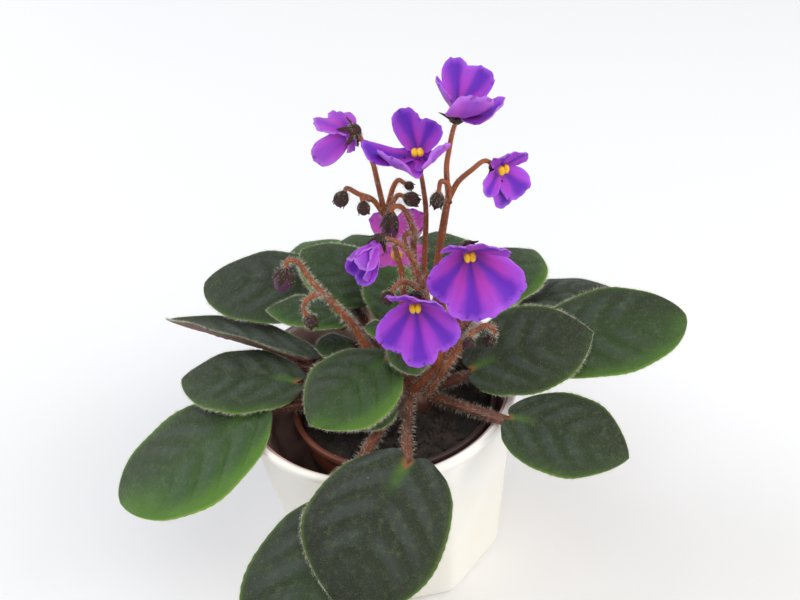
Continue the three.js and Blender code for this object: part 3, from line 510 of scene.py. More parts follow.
def soft_polygon(angle, side_distance):
    """Distance to an eight-sided outline with softened corners: the sides' distance divided
    by the p-norm of the cosines to their normals."""
    centres = FIRST_CORNER + (np.arange(FACETS) + 0.5) * math.tau / FACETS
    facing = np.clip(np.cos(angle[..., None] - centres), 0, 1)
    return side_distance / np.sum(facing ** CORNER_SHARPNESS, axis=-1) ** (1 / CORNER_SHARPNESS)


def cover_pot_radius(angle, height, rim, base):
    """The cover pot's outer wall: round under the lip, eight flat sides lower down."""
    corner = base + (rim - base) * height / POT_HEIGHT
    faceted = fade(0, 1, (POT_HEIGHT - height) / ROUND_TO_FACETS)
    round_part = corner * math.cos(math.pi / FACETS / 2)
    flat_part = soft_polygon(angle, corner * math.cos(math.pi / FACETS))
    return round_part + (flat_part - round_part) * faceted


def turned_wall(outline, segments, radius_at=None, centre=(0, 0)):
    """A wall turned about a vertical axis. outline lists (radius, height, faceted). Where
    faceted is 1, the radius is that of radius_at less the first number."""
    angle = ring_angles(segments)
    rows = []
    for radius, height, faceted in outline:
        reach = radius_at(angle, height) - radius if faceted else np.full(segments, float(radius))
        rows.append(np.stack([centre[0] + reach * np.cos(angle), centre[1] + reach * np.sin(angle),
                              np.full(segments, float(height))], -1))
    return strip(np.array(rows))


def arc(centre, radius, start, end, steps):
    """Points (radius, height, 0) of a rounded edge, from start to end in degrees."""
    turns = np.radians(np.linspace(start, end, steps))
    return [(centre[0] + radius * math.cos(t), centre[1] + radius * math.sin(t), 0) for t in turns]


# Leaves


def blade_axes(leaf):
    """Directions along the midrib, to its right and out of the upper face, and the length."""
    base, tip = np.array(leaf["base"], float), np.array(leaf["tip"], float)
    length = np.linalg.norm(tip - base)
    along = (tip - base) / length
    side = turned(unit(np.cross(along, [0, 0, 1.0])), along, math.radians(leaf["roll"]))
    return base, along, side, np.cross(side, along), length


def blade_share(u, leaf):
    """Share of the half width along the midrib: it grows as a sine from the shoulder to the
    widest place, and falls as a power to the tip. A square root rounds the lobes."""
    shoulder = leaf["shoulder"]
    rising = shoulder + (1 - shoulder) * np.sin(math.pi / 2 * np.clip(u / WIDEST, 0, 1)) ** 0.9
    rising = rising - (0 if leaf["small"] else 0.15) * (1 - np.sqrt(np.clip(u / 0.11, 0, 1)))
    t = np.clip((u - WIDEST) / (1 - WIDEST), 0, 1)
    return np.where(u < WIDEST, rising, (1 - t ** 2.1) ** leaf["point"])


def vein_wave(u, v):
    """0 on a side vein and 1 between two. Side veins leave the midrib at even steps and bend
    towards the tip as a power of the distance from it."""
    return np.abs(np.sin(math.pi * SIDE_VEINS * (u - VEIN_BEND * np.abs(v) ** VEIN_POWER)))


def blade_point(leaf, u, v, quilt_depth, seed):
    """Places on the upper face of the blade. Across the midrib v goes from -1 to 1; the
    notch, the sweep, the arch and the cup are those of the solid, and the quilting, the
    waves and the scalloped margin are added."""
    base, along, side, out, length = blade_axes(leaf)
    phase = np.random.default_rng(seed).uniform(0, math.tau, 4)
    share = blade_share(u, leaf)
    teeth = 8 if leaf["small"] else 16
    scallop = 1 + 0.005 * np.abs(v) ** 6 * np.sin(math.tau * teeth * u + phase[0]) * np.sin(
        math.pi * u)
    half_width = share * leaf["width"] / 2
    across = v * half_width * scallop + leaf["lean"] * leaf["width"] * np.sin(math.pi * u)
    notch = leaf["lobe"] * (1 - u) ** 3 * np.sin(math.pi * np.abs(v) ** 0.8)
    sweep = 0.08 * v * v * np.sin(math.pi * u) * (1 - u)
    height = leaf["arch"] * 4 * u * (1 - u) - leaf["cup"] * v * v * share
    wave = 0.35 * np.abs(v) ** 3 * np.sin(math.tau * 2.5 * u + phase[1] + 2 * np.sign(v)) * share
    inner = (1 - fade(0.35, 0.9, np.abs(v))) * fade(-0.1, 0.16, np.abs(v))
    inner = inner * fade(0, 0.1, u) * fade(0.08, 0.5, 1 - u)
    quilt = quilt_depth * (vein_wave(u, v) ** 0.7 - 0.6) * inner
    groove = -0.35 * np.exp(-(v * half_width / 0.8) ** 2) * (1 - u)
    if leaf["small"]:
        quilt, groove, wave = quilt * 0.4, groove * 0.5, wave * 0.4
    place = base + along * (length * (u - notch + sweep))[..., None] + side * across[..., None]
    return place + out * (height + wave + quilt + groove)[..., None]


def leaf_parts(leaf, looks, seed):
    """A blade as a closed flat pillow, upper side then under side, with hairs on its upper
    face and a fringe round its margin."""
    depth = looks.quilt_depth / MM
    _, _, side, out, length = blade_axes(leaf)
    even, v = sheet_grid(*((36, 14) if leaf["small"] else (64, 24)))
    u = 0.6 * even + 0.4 * (1 - np.cos(math.pi * even)) / 2
    place = blade_point(leaf, u, v, depth, seed)
    thick = (BLADE * np.sqrt(1 - v ** 2) ** 0.7
             * np.minimum(1, np.sqrt(np.clip(u / 0.03, 0, 1))) * (1 - u ** 8))
    lit = 0.3 + 0.7 * fade(-0.9, 0.9, v * np.dot(side, TOWARDS_FRONT_LIGHT))
    blade = pillow(place, place - out * thick[..., None], u, (v + 1) / 2, out, 0, 1,
                   glow=leaf["glow"] * lit)
    rng = np.random.default_rng(seed + 100)
    count = int(leaf["width"] * length * looks.hair_density)
    hair_u, hair_v = rng.uniform(0.02, 0.98, count), rng.uniform(-0.99, 0.99, count)
    lean = 0.7 * np.random.default_rng(seed + 5).normal(size=3)
    face = hairs(blade_point(leaf, hair_u, hair_v, depth, seed), out + 0.35 * lean,
                 looks.hair_length / MM, FACE_HAIR, 3, 0.0, 0.5, seed + 1)
    count = int(340 + 14 * leaf["width"])
    edge_u = rng.uniform(0.0, 1.0, count) ** 0.85
    edge_v = rng.choice([-1.0, 1.0], count)
    rim = blade_point(leaf, edge_u, edge_v, depth, seed)
    inside = blade_point(leaf, np.clip(edge_u - 0.03 * (edge_u > 0.5), 0, 1), edge_v * 0.9,
                         depth, seed)
    fringe = hairs(rim, unit(rim - inside) + 0.35 * out, looks.fringe_length / MM, FRINGE_HAIR, 2,
                   0.1, 0.45, seed + 2)
    return [blade, face, fringe]


def leaf_stalk_path(leaf):
    """The stalk's route from the crown to just under the blade."""
    radius, reach = (1.1, 1.5) if leaf["small"] else (1.8, 2.5)
    base, along, _, out, _ = blade_axes(leaf)
    end = base + along * (-GAP if leaf["butt"] else reach)
    if not leaf["butt"]:
        end = end - out * (radius + BLADE + GAP)
    root = np.array(CROWN)
    spread = unit([end[0] - root[0], end[1] - root[1], 0])
    root = root + spread * 2
    lead = end - along * (reach + 1.5)
    run = np.linalg.norm(end - root)
    points = [root, lead, end]
    if leaf["via"]:
        points = [root, *[np.array(p, float) for p in leaf["via"]], end]
    elif run > 15:
        early = root + spread * run * 0.35
        early[2] = root[2] + (lead[2] - root[2]) * 0.28
        points = [root, early, lead, end]
    return smooth_path(points, 26), radius


# Blooms


def bloom_axes(bloom):
    """The throat, and the directions to the bloom's front, its top and its right."""
    azimuth, elevation = np.radians(bloom["facing"])
    level = np.array([math.cos(azimuth), math.sin(azimuth), 0])
    upright = np.array([0, 0, 1.0])
    front = level * math.cos(elevation) + upright * math.sin(elevation)
    up = upright * math.cos(elevation) - level * math.sin(elevation)
    return np.array(bloom["throat"], float), front, up, np.cross(up, front)


def tube_axes(bloom):
    """The throat and the directions to the front, the top and the right of the bloom's tube
    and calyx, which nod turns about the right."""
    throat, front, up, right = bloom_axes(bloom)
    nod = math.radians(bloom["nod"])
    return throat, turned(front, right, nod), turned(up, right, nod), right


def ray_axes(front, up, right, angle, tilt):
    """Directions along, out of and across something that leaves the bloom's axis."""
    a, t = math.radians(angle), math.radians(tilt)
    spread = up * math.cos(a) - right * math.sin(a)
    along = spread * math.cos(t) + front * math.sin(t)
    out = -spread * math.sin(t) + front * math.cos(t)
    return along, out, np.cross(along, out)


def lobe_margin(length, width):
    """A lobe's margin as angles from its axis, growing, and distances from the throat. Its
    reach goes as 1 - cos and its half width as a narrow claw plus a sine, and the margin is
    kept where the angle falls, up to its end."""
    u = np.linspace(0, 1, 160)
    reach = length * (1 - np.cos(math.pi * u)) / 2
    half = width / 2 * (0.2 * (1 - u) ** 2 + np.clip(np.sin(math.pi * u ** 1.4), 0, 1) ** 0.85)
    angle = np.arctan2(half, reach)
    widest = np.argmax(angle[16:]) + 16
    return angle[widest:][::-1], np.hypot(half, reach)[widest:][::-1]


def fan_outline(lobes):
    """The angles across a fan, the distance to its margin at each, and how far each is from
    the stripe of its lobe, 1 being halfway to the next. Seen from the throat, the margin is
    the farthest of the lobes' margins."""
    turns = np.radians([lobe[0] for lobe in lobes])
    lines = np.radians([lobe[0] + sum(lobe[3:]) for lobe in lobes])
    margins = [lobe_margin(lobe[1], lobe[2]) for lobe in lobes]
    halves = np.array([margin[0][-1] for margin in margins])
    low, high = np.min(turns - halves), np.max(turns + halves)
    even = np.linspace(-1, 1, 17 + 24 * len(lobes))
    v = np.sin(even * math.pi / 2) * 0.35 + even * 0.65
    phi = (low + high) / 2 + v * (high - low) / 2
    offs = np.abs(phi[None] - turns[:, None])
    sides = np.abs(phi[None] - lines[:, None])
    reach = np.max([np.where(off <= half + 1e-6, np.interp(off, *margin), 0)
                    for off, half, margin in zip(offs, halves, margins)], axis=0)
    across = np.min(sides, axis=0) / math.radians(STRIPE_TURN)
    if len(lobes) > 1:
        near, second = np.sort(sides, axis=0)[:2]
        inside = (phi > min(lines)) & (phi < max(lines))
        across = np.where(inside, 2 * near / (near + second), across)
    return v, phi, reach, across


def fan_part(bloom, fan, seed):
    """Lobes that are joined at their sides, as one thin closed pillow. The surface bends
    along an arc, and has a cup across, a groove down each lobe and a ruffled, finely cut
    margin."""
    angle, tilt, bend, cup, lobes = fan
    throat, front, up, right = bloom_axes(bloom)
    along, out, side = ray_axes(front, up, right, angle, tilt)
    phase = np.random.default_rng(seed).uniform(0, math.tau, 5)
    v, phi, reach, across = fan_outline(lobes)
    reach = reach * (1 + 0.012 * np.sin(29 * phi + phase[0]) + 0.009 * np.sin(61 * phi + phase[1])
                     + 0.006 * np.sin(97 * phi + phase[4]))
    s = 1 - (1 - np.linspace(0, 1, 31)[:, None]) ** 1.4
    far = s * reach
    x, y = -far * np.sin(phi), far * np.cos(phi)
    radius = max(lobe[1] for lobe in lobes) / math.radians(bend or 0.1)
    over = (y / radius)[..., None]
    inner = out * np.cos(over) - along * np.sin(over)
    height = cup * (x / 10) ** 2
    ruffle = (0.45 * s ** 3 * np.sin(8 * phi + phase[2])
              + 0.2 * s ** 5 * np.sin(23 * phi + phase[3])
              - 0.4 * np.exp(-(across / 0.4) ** 2) * np.sin(math.pi * s)
              + 0.14 * np.sin(17 * phi) * s * (1 - s))
    place = (throat + side * x[..., None] + along * radius * np.sin(over)
             + out * (radius * (1 - np.cos(over)) + height[..., None]) + inner * ruffle[..., None])
    thick = 0.5 * np.sqrt(np.clip((1 - s) / 0.05, 0, 1) * np.clip(s / 0.06, 0, 1)
                          * np.clip((1 - np.abs(v)) / 0.05, 0, 1))
    return pillow(place, place - inner * thick[..., None], s, phi / math.tau + 0.5,
                  inner[4, len(v) // 2], 0, 1, blush=bloom["blush"], across=across)


def bloom_parts(bloom, seed):
    """The fans of lobes on a short flared tube."""
    throat, front, _, _ = tube_axes(bloom)
    parts = [fan_part(bloom, fan, seed + i) for i, fan in enumerate(bloom["fans"])]
    path = throat + front * np.linspace(-bloom["tube"], 0.3, 8)[:, None]
    parts.append(tube(path, THROAT_RADIUS * np.linspace(0.75, 1.15, 8), 20, material=1,
                      blush=bloom["blush"], across=0.6))
    return parts


def pod_share(a, point):
    """A pod's radius as a share of its half width: sin a, drawn in towards its far end."""
    return np.sin(a) * (1 - point * fade(0.5, 1, 1 - a / math.pi) * 0.6)


def pod(centre, way, half_length, half_width, rows, sides, groove, point=0.0, material=0, **marks):
    """A ball stretched along a direction: radius sin a, height cos a, with lengthwise
    grooves, and drawn out to a point by the share point."""
    way = unit(way)
    cross = sideways(way)
    a = np.linspace(0, math.pi, rows + 1)[:, None]
    b = ring_angles(sides)[None]
    radius = half_width * pod_share(a, point) * (1 + groove * np.cos(5 * b))
    points = (np.asarray(centre, float) - way * (half_length * np.cos(a))[..., None]
              + spokes(b, cross, np.cross(way, cross)) * radius[..., None])
    return strip(points, material=material, **marks)


def sepal(start, along, out, length, width):
    """A narrow pointed leaflet: half width (1 - u^2)(0.7 + 0.6 u), bent outwards by 0.12 of
    its length times u squared."""
    side = np.cross(along, out)
    u, v = sheet_grid(10, 6)
    half = width / 2 * (1 - u ** 2) * (0.7 + 0.6 * u)
    height = 0.12 * length * u ** 2 - 0.15 * v * v
    place = (np.asarray(start) + along * (length * u)[..., None] + side * (v * half)[..., None]
             + out * height[..., None])
    thick = 0.4 * np.sqrt(1 - v ** 2) * (1 - u ** 4)
    return pillow(place, place - out * thick[..., None], u, (v + 1) / 2, out, 1, 1)


def calyx_parts(bloom, seed):
    """A cup behind the tube with five sepals that lie along it, and its hairs; and the place
    where its stalk ends."""
    throat, front, up, right = tube_axes(bloom)
    seat = throat - front * bloom["tube"]
    foot = seat - front * CALYX_LENGTH
    path = foot + (seat - foot) * np.linspace(0, 1, 8)[:, None]
    radii = CALYX_RADIUS * np.array([0.5, 0.74, 0.88, 0.97, 1, 1, 0.95, 0.8])
    parts = [tube(path, radii, 16, ridge=0.04, material=1)]
    for k, angle in enumerate(SEPAL_ANGLES):
        spread, _, _ = ray_axes(front, up, right, angle, 0)
        along, out, _ = ray_axes(front, up, right, angle, 50 + 9 * math.sin(2.3 * k + seed))
        parts.append(sepal(seat - front * 1.3 + spread * 1.7, along, -out, 4.4, 2.0))
    parts.append(tube_hairs(path, radii, 40, 0.9, CALYX_HAIR, 2, seed))
    return parts, foot + front * 0.6


def bud_sepal(centre, way, cross, size, turn, cover, curl):
    """A sepal that hugs a bud: it follows the bud's own turned outline over the share cover
    of its length, narrows as a power of u across, and its tip curls outwards."""
    half_width, half_length = size
    u, v = sheet_grid(16, 8)
    a = math.pi * (0.1 + (cover - 0.1) * u)
    b = turn + v * 0.66 * (1 - u ** 2.2) * (0.8 + 0.5 * u)
    outer = half_width * (pod_share(a, BUD_POINT) + curl * fade(0.72, 1, u) ** 1.5)
    outer = outer + 0.12 + 0.2 * (1 - v * v)
    radial = spokes(b, cross, np.cross(way, cross))
    thick = 0.3 * np.sqrt(1 - v * v) * (1 - u ** 4)
    place = (centre - way * (1.03 * half_length * np.cos(a))[..., None]
             + radial * outer[..., None])
    return pillow(place, place - radial * thick[..., None], u, 0.5, radial[4, 4], 1, 1)


def bud_parts(size, path, dark, seed):
    """A hanging bud: a pod with five pointed sepals that hug it, and hairs. The sepals of a
    young bud close over it and part at their tips."""
    half_width, half_length = size
    end, before = np.array(path[-1], float), np.array(path[-2], float)
    way = unit(end - before)
    centre = end + way * half_length * 0.75
    parts = [pod(centre, way, half_length, half_width, 16, 16, 0.03, BUD_POINT, material=3,
                 bud_dark=dark)]
    cross = unit(np.cross(way, [0.3, 0.9, 0.1]))
    cover, curl, per_width = (0.56, 0.08, 34) if dark < 0.5 else (0.86, 0.42, 70)
    for k in range(5):
        parts.append(bud_sepal(centre, way, cross, size, (k + 0.3) * math.tau / 5, cover, curl))
    rng = np.random.default_rng(seed)
    count = int(per_width * half_width)
    a, b = rng.uniform(0.2, 1.7, count), rng.uniform(0, math.tau, count)
    radial = spokes(b, cross, np.cross(way, cross))
    root = (centre - way * (half_length * np.cos(a))[:, None]
            + radial * (half_width * np.sin(a) + 0.3)[:, None])
    parts.append(hairs(root, radial - 0.4 * way * np.cos(a)[:, None], 0.8, BUD_HAIR, 2, 0.05, 0.3,
                       seed + 3))
    return parts


def flower_stalk_parts(stalk, looks, seed):
    """A main stem that thins upwards, its finer stalks, calyces and buds, their hairs, and
    the woolly tuft where they part."""
    stem = smooth_path(stalk["stem"], 44)
    radii = stalk["radius"] * np.linspace(1.05, 0.68, len(stem))
    wool = stalk["wool"]
    density = looks.stalk_hair_density * wool
    length = looks.stalk_hair_length / MM * (0.5 + 0.5 * min(wool, 1))
    parts = [tube(stem, radii, 16, ridge=0.03),
             tube_hairs(stem, radii, density, length, FLOWER_STALK_HAIR, 2, seed)]
    for k, branch in enumerate(stalk["branches"]):
        path = [np.array(p, float) for p in branch["path"]]
        if "to" in branch:
            calyx, foot = calyx_parts(BLOOMS[branch["to"]], seed + 31 * k)
            parts += calyx
            path.append(foot)
        else:
            parts += bud_parts(branch["bud"], path, branch.get("dark", 0.8), seed + 17 * k)
        line = smooth_path(path, 34)
        thin = 0.82 * np.linspace(1.08, 0.78, len(line))
        parts.append(tube(line, thin, 12, ridge=0.02))
        parts.append(tube_hairs(line, thin, density * (1.3 if "bud" in branch else 1), length,
                                FLOWER_STALK_HAIR, 2, seed + 7 * k + 2))
    node_place = np.array(stalk["branches"][0]["path"][0], float)
    for j in range(2):
        out = turned(np.array([1.0, 0, 0]), np.array([0, 0, 1.0]), 1.3 + 3.1 * j + seed)
        parts.append(sepal(node_place + out * 0.9, unit(out + [0, 0, 0.8]),
                           unit([-out[0] * 0.6, -out[1] * 0.6, 1]), 2.6, 1.0))
    if wool >= 1:
        rise = np.array([0, 0, 1.2])
        tuft = smooth_path([node_place - rise, node_place, node_place + rise], 8)
        parts.append(tube_hairs(tuft, 0.9, 50 * wool, 1.6, TUFT_HAIR, 2, seed + 90, droop=0.3))
    return parts


# Shader nodes


def join(value, socket):
    """Gives a socket a number, a colour or a field."""
    if isinstance(value, Field):
        socket.id_data.links.new(value.socket, socket)
    else:
        socket.default_value = (*value, 1) if socket.type == "RGBA" else value


def node(tree, kind, inputs=None, output=0, **settings):
    """Adds a node with its settings and inputs, and gives one of its outputs as a field."""
    made = tree.nodes.new(kind)
    for key, value in settings.items():
        setattr(made, key, value)
    for key, value in (inputs or {}).items():
        join(value, made.inputs[key])
    return Field(made.outputs[output])


class Field:
    """A node's output. Arithmetic with numbers and other fields adds Math nodes."""

    def __init__(self, socket):
        self.socket = socket

    def math(self, operation, *terms):
        return node(self.socket.id_data, "ShaderNodeMath", dict(enumerate((self, *terms))),
                    operation=operation)

    def __add__(self, other):
        return self.math("ADD", other)

    def __sub__(self, other):
        return self.math("SUBTRACT", other)

    def __mul__(self, other):
        return self.math("MULTIPLY", other)

    def line(self, slope, start):
        """slope times the field, plus start."""
        return self.math("MULTIPLY_ADD", slope, start)

    def rise(self, low, high):
        """0 to 1 as the field goes from low to high, smoothly."""
        return node(self.socket.id_data, "ShaderNodeMapRange", {0: self, 1: low, 2: high},
                    interpolation_type="SMOOTHSTEP")

    def fall(self, low, high):
        """1 to 0 as the field goes from low to high, smoothly."""
        return self.rise(low, high).line(-1.0, 1.0)


def noise(place, scale):
    """Soft noise of about 0.5 at a place."""
    return node(place.socket.id_data, "ShaderNodeTexNoise", {"Vector": place, "Scale": scale})


def cells(place, scale, feature="F1"):
    """The distance to the nearest of many scattered points."""
    return node(place.socket.id_data, "ShaderNodeTexVoronoi", {"Vector": place, "Scale": scale},
                feature=feature)


def blend(share, first, second):
    """The first colour where share is 0, the second where it is 1."""
    return node(share.socket.id_data, "ShaderNodeMix", {0: share, 6: first, 7: second}, 2,
                data_type="RGBA")


def node_group(name, inputs, outputs, body):
    """A shader node group with named sockets, built the first time it is asked for. body
    takes the inputs as fields, and gives a field for each output."""
    if name in bpy.data.node_groups:
        return bpy.data.node_groups[name]
    tree = bpy.data.node_groups.new(name, "ShaderNodeTree")
    for label, (kind, default) in inputs.items():
        socket = tree.interface.new_socket(label, in_out="INPUT", socket_type=kind)
        if default is not None:
            socket.default_value = default
    for label, kind in outputs.items():
        tree.interface.new_socket(label, in_out="OUTPUT", socket_type=kind)
    start, end = tree.nodes.new("NodeGroupInput"), tree.nodes.new("NodeGroupOutput")
    made = body(*(Field(start.outputs[label]) for label in inputs))
    for label, field in zip(outputs, made):
        join(field, end.inputs[label])
    return tree


def surface_grain():
    """Two sizes of noise as one height, for bumps: coarse swells and fine grain."""

    def body(place, coarse, fine, share):
        grains = noise(place, fine)
        swells = noise(place, coarse)
        mixed = node(place.socket.id_data, "ShaderNodeMix", {0: share, 2: swells, 3: grains})
        return mixed, grains

    return node_group(
        "surface_grain",
        {"Vector": ("NodeSocketVector", None), "Coarse Scale": ("NodeSocketFloat", 300.0),
         "Fine Scale": ("NodeSocketFloat", 1500.0), "Fine Share": ("NodeSocketFloat", 0.5)},
        {"Height": "NodeSocketFloat", "Fine": "NodeSocketFloat"}, body)


def uneven_colour():
    """Uneven colour: the first colour goes to the second where a noise is high."""

    def body(place, first, second, scale, amount):
        return (blend(noise(place, scale).rise(0.35, 0.68) * amount, first, second),)

    return node_group(
        "uneven_colour",
        {"Vector": ("NodeSocketVector", None), "First": ("NodeSocketColor", (0.5, 0.5, 0.5, 1)),
         "Second": ("NodeSocketColor", (0.2, 0.2, 0.2, 1)), "Scale": ("NodeSocketFloat", 200.0),
         "Amount": ("NodeSocketFloat", 0.5)},
        {"Color": "NodeSocketColor"}, body)


class Paint:
    """A new material: its Principled shader, its coordinates, and short ways to its nodes.
    The plain values go to the shader's own sockets, with _ for a space."""

    def __init__(self, name, **plain):
        self.material = bpy.data.materials.new(name)
        self.material.use_nodes = True
        self.tree = self.material.node_tree
        self.shader = next(n for n in self.tree.nodes if n.type == "BSDF_PRINCIPLED")
        for key, value in plain.items():
            join(value, self.shader.inputs[key.replace("_", " ")])
        self.place = node(self.tree, "ShaderNodeTexCoord", output="Object")

    def surface(self):
        """u along the piece and v across it, from its own UV map."""
        uv = node(self.tree, "ShaderNodeUVMap", uv_map="surface")
        parts = node(self.tree, "ShaderNodeSeparateXYZ", {0: uv}).socket.node
        return Field(parts.outputs[0]), Field(parts.outputs[1])

    def blade(self):
        """u along a leaf blade, the distance from its midrib, and the wave of its veins."""
        u, v = self.surface()
        across = v.line(2.0, -1.0).math("ABSOLUTE")
        place = u - across.math("POWER", VEIN_POWER) * VEIN_BEND
        return u, across, (place * (SIDE_VEINS * math.pi)).math("SINE").math("ABSOLUTE")

    def streaks(self, along, across):
        """Noise that is drawn out along the piece."""
        u, v = self.surface()
        return noise(node(self.tree, "ShaderNodeCombineXYZ", {0: u * along, 1: v * across}), 1.0)

    def mark(self, name):
        """A value kept on the mesh."""
        return node(self.tree, "ShaderNodeAttribute", output="Fac", attribute_name=name)

    def mottle(self, first, second, scale, amount):
        """The first colour with patches of the second."""
        return node(self.tree, "ShaderNodeGroup", {
            "Vector": self.place, "First": tuple(first), "Second": second, "Scale": scale,
            "Amount": amount}, node_tree=uneven_colour())

    def grain(self, coarse, fine, share):
        """The height of the grain, and its fine part."""
        made = node(self.tree, "ShaderNodeGroup", {
            "Vector": self.place, "Coarse Scale": coarse, "Fine Scale": fine,
            "Fine Share": share}, node_tree=surface_grain()).socket.node
        return Field(made.outputs["Height"]), Field(made.outputs["Fine"])

    def finish(self, colour, height=None, strength=0.5, depth=0.0004, rough=None):
        """Joins the colour, the roughness, and a bump of a height with its depth in metres;
        gives the material."""
        join(colour, self.shader.inputs["Base Color"])
        if rough:
            join(rough, self.shader.inputs["Roughness"])
        if height:
            bump = node(self.tree, "ShaderNodeBump", {
                "Height": height, "Strength": strength, "Distance": depth})
            join(bump, self.shader.inputs["Normal"])
        return self.material


# Materials


def white_plastic(sizes):
    """Matte white plastic, faintly warmer in places, with fine grain."""
    paint = Paint("white_plastic", Roughness=0.42, Subsurface_Weight=0.08,
                  Subsurface_Radius=(0.004, 0.0035, 0.003), Subsurface_Scale=0.5)
    colour = paint.mottle(sizes.pot_colour, tone(238, 232, 216), 28.0, 0.5)
    height, fine = paint.grain(60.0, 2400.0, 0.25)
    return paint.finish(colour, height, 0.12, rough=fine.line(0.16, 0.34))


def brown_plastic(name, first, second, rough, soiled=None):
    """Thin brown plastic with pale specks. Where a colour of soil is given, it covers the
    right half, and its edge wanders with the grain."""
    paint = Paint(name, Roughness=rough)
    dots = cells(paint.place, 420.0).math("LESS_THAN", 0.13)
    colour = blend(dots * 0.5, paint.mottle(first, second, 75.0, 0.8), tone(150, 128, 112))
    height, _ = paint.grain(180.0, 1600.0, 0.5)
    if soiled:
        right = node(paint.tree, "ShaderNodeSeparateXYZ", {0: paint.place})
        colour = blend(height.line(0.03, right).rise(0.004, 0.022) * 0.88, colour, soiled)
    return paint.finish(colour, height, 0.2, rough=height.line(0.3, rough - 0.15))


def peat(sizes):
    """Near black crumbly peat with a few pale specks."""
    paint = Paint("peat", Roughness=0.95)
    pale = cells(paint.place, 700.0).math("LESS_THAN", 0.12)
    colour = paint.mottle(sizes.peat_colour, tone(74, 60, 50), 260.0, 0.55)
    colour = blend(pale * 0.4, colour, tone(120, 104, 88))
    return paint.finish(colour, paint.grain(420.0, 1900.0, 0.45)[0], 1.0, 0.0012)


def leaf_upper(looks):
    """Velvety leaf: dark olive in the middle, painted greener where the light falls and green at
    the margin on the lit side, sunk veins painted darker green as shade in their creases, a painted
    blue-grey sheen on the swells between them, a green streak at the base of the midrib, fine
    pebbling and a few pale specks."""
    paint = Paint("leaf_upper", Roughness=0.6, Sheen_Weight=0.1, Sheen_Roughness=0.4,
                  Sheen_Tint=(0.7, 0.84, 0.9), Specular_IOR_Level=0.35, Subsurface_Weight=0.04,
                  Subsurface_Radius=(0.001, 0.0014, 0.0005), Subsurface_Scale=1.0)
    u, across, wave = paint.blade()
    glow = paint.mark("glow")
    drift = noise(paint.place, 85.0)
    spread = glow.line(0.36, drift.line(0.3, -0.15))
    margin = (across + spread).rise(0.82, 1.22)
    tip = (u + spread).rise(0.92, 1.28)
    rib = across.fall(0.0, 0.2)
    inner = across.fall(0.5, 0.95) * u.fall(0.5, 0.9) * across.rise(0.0, 0.2)
    speck = cells(paint.place, 260.0).math("LESS_THAN", 0.04)
    height, fine = paint.grain(420.0, 2600.0, 0.45)
    colour = paint.mottle(looks.leaf_dark, tone(38, 42, 28), 60.0, 0.7)
    for share, over in (
            # painted light: glow, larger on the side facing the light, makes the blade greener and
            # its margin and rim bright green
            (glow * 0.95, tone(54, 92, 28)),
            (margin.math("MAXIMUM", tip) * glow.line(0.62, 0.16), tuple(looks.leaf_bright)),
            (across.rise(0.93, 1.0) * glow.line(0.7, 0.25), tone(120, 158, 52)),
            # painted shade: the sunk side veins darker green in their creases
            (wave.fall(0.0, 0.4) * inner * glow.line(-0.45, 0.75), tone(34, 50, 20)),
            # painted sheen: blue-grey on the swells between the veins, weaker on lit blades
            (wave.rise(0.5, 1.0) * inner * glow.line(-0.35, 0.55), tone(62, 72, 66)),
            (rib * u.fall(0.02, 0.28) * 0.8, tone(72, 112, 34)),
            (rib * u.fall(0.0, 0.06), tone(150, 78, 44)),
            (speck * drift.math("GREATER_THAN", 0.66) * 0.6, tone(190, 196, 180)),
            (height.rise(0.5, 0.68) * 0.38, tone(92, 106, 72))):
        colour = blend(share, colour, over)
    pebbles = cells(paint.place, 900.0, "SMOOTH_F1") * -0.6
    return paint.finish(colour, pebbles + height + wave * inner * 0.9, 0.5, 0.0005,
                        fine.line(0.3, 0.45))


def leaf_under(looks):
    """Maroon under side with raised pale veins."""
    paint = Paint("leaf_under", Roughness=0.65, Sheen_Weight=0.1, Sheen_Tint=(0.9, 0.75, 0.75),
                  Specular_IOR_Level=0.3)
    _, across, wave = paint.blade()
    colour = paint.mottle(looks.leaf_under, tone(112, 64, 58), 70.0, 0.7)
    colour = blend(across.rise(0.82, 1.0) * 0.6, colour, tone(96, 104, 66))
    lines = wave.fall(0.0, 0.2).math("MAXIMUM", across.fall(0.0, 0.08))
    colour = blend(lines * 0.5, colour, tone(160, 110, 100))
    return paint.finish(colour, paint.grain(500.0, 2400.0, 0.5)[0] + lines, 0.5, 0.0005)


def hair_material(name):
    """Plant hair, pale on stalks and margins and grey-green on the face of a leaf, made the
    first time it is asked for."""
    if name in bpy.data.materials:
        return bpy.data.materials[name]
    paint = Paint(name, Roughness=0.45, Subsurface_Weight=0.3,
                  Subsurface_Radius=(0.0006, 0.0005, 0.0004))
    first, second = {"plant_hair": (tone(246, 241, 224), tone(212, 200, 176)),
                     "blade_hair": (tone(150, 162, 136), tone(88, 104, 72))}[name]
    return paint.finish(paint.mottle(first, second, 300.0, 0.8))


def stem_material(name, first, second):
    """Fleshy red-brown stalk, darker in places, with lengthwise streaks."""
    paint = Paint(name, Roughness=0.48, Subsurface_Weight=0.12, Sheen_Weight=0.08,
                  Subsurface_Radius=(0.002, 0.0009, 0.0006), Sheen_Tint=(1.0, 0.9, 0.82))
    lines = paint.streaks(3.0, 26.0)
    colour = blend(lines.rise(0.45, 0.7) * 0.45, paint.mottle(first, second, 90.0, 0.9),
                   tone(168, 100, 62))
    return paint.finish(colour, paint.grain(500.0, 2500.0, 0.5)[0] + lines * 0.5, 0.4)


def sepal_material():
    """Brown-green sepals and calyx with darker tips."""
    paint = Paint("sepal", Roughness=0.6, Sheen_Weight=0.05, Specular_IOR_Level=0.25)
    u, _ = paint.surface()
    colour = blend(u.rise(0.5, 1.0) * 0.6,
                   paint.mottle(tone(64, 36, 30), tone(52, 40, 28), 260.0, 1.0), tone(46, 26, 26))
    return paint.finish(colour, paint.grain(600.0, 2500.0, 0.5)[0])


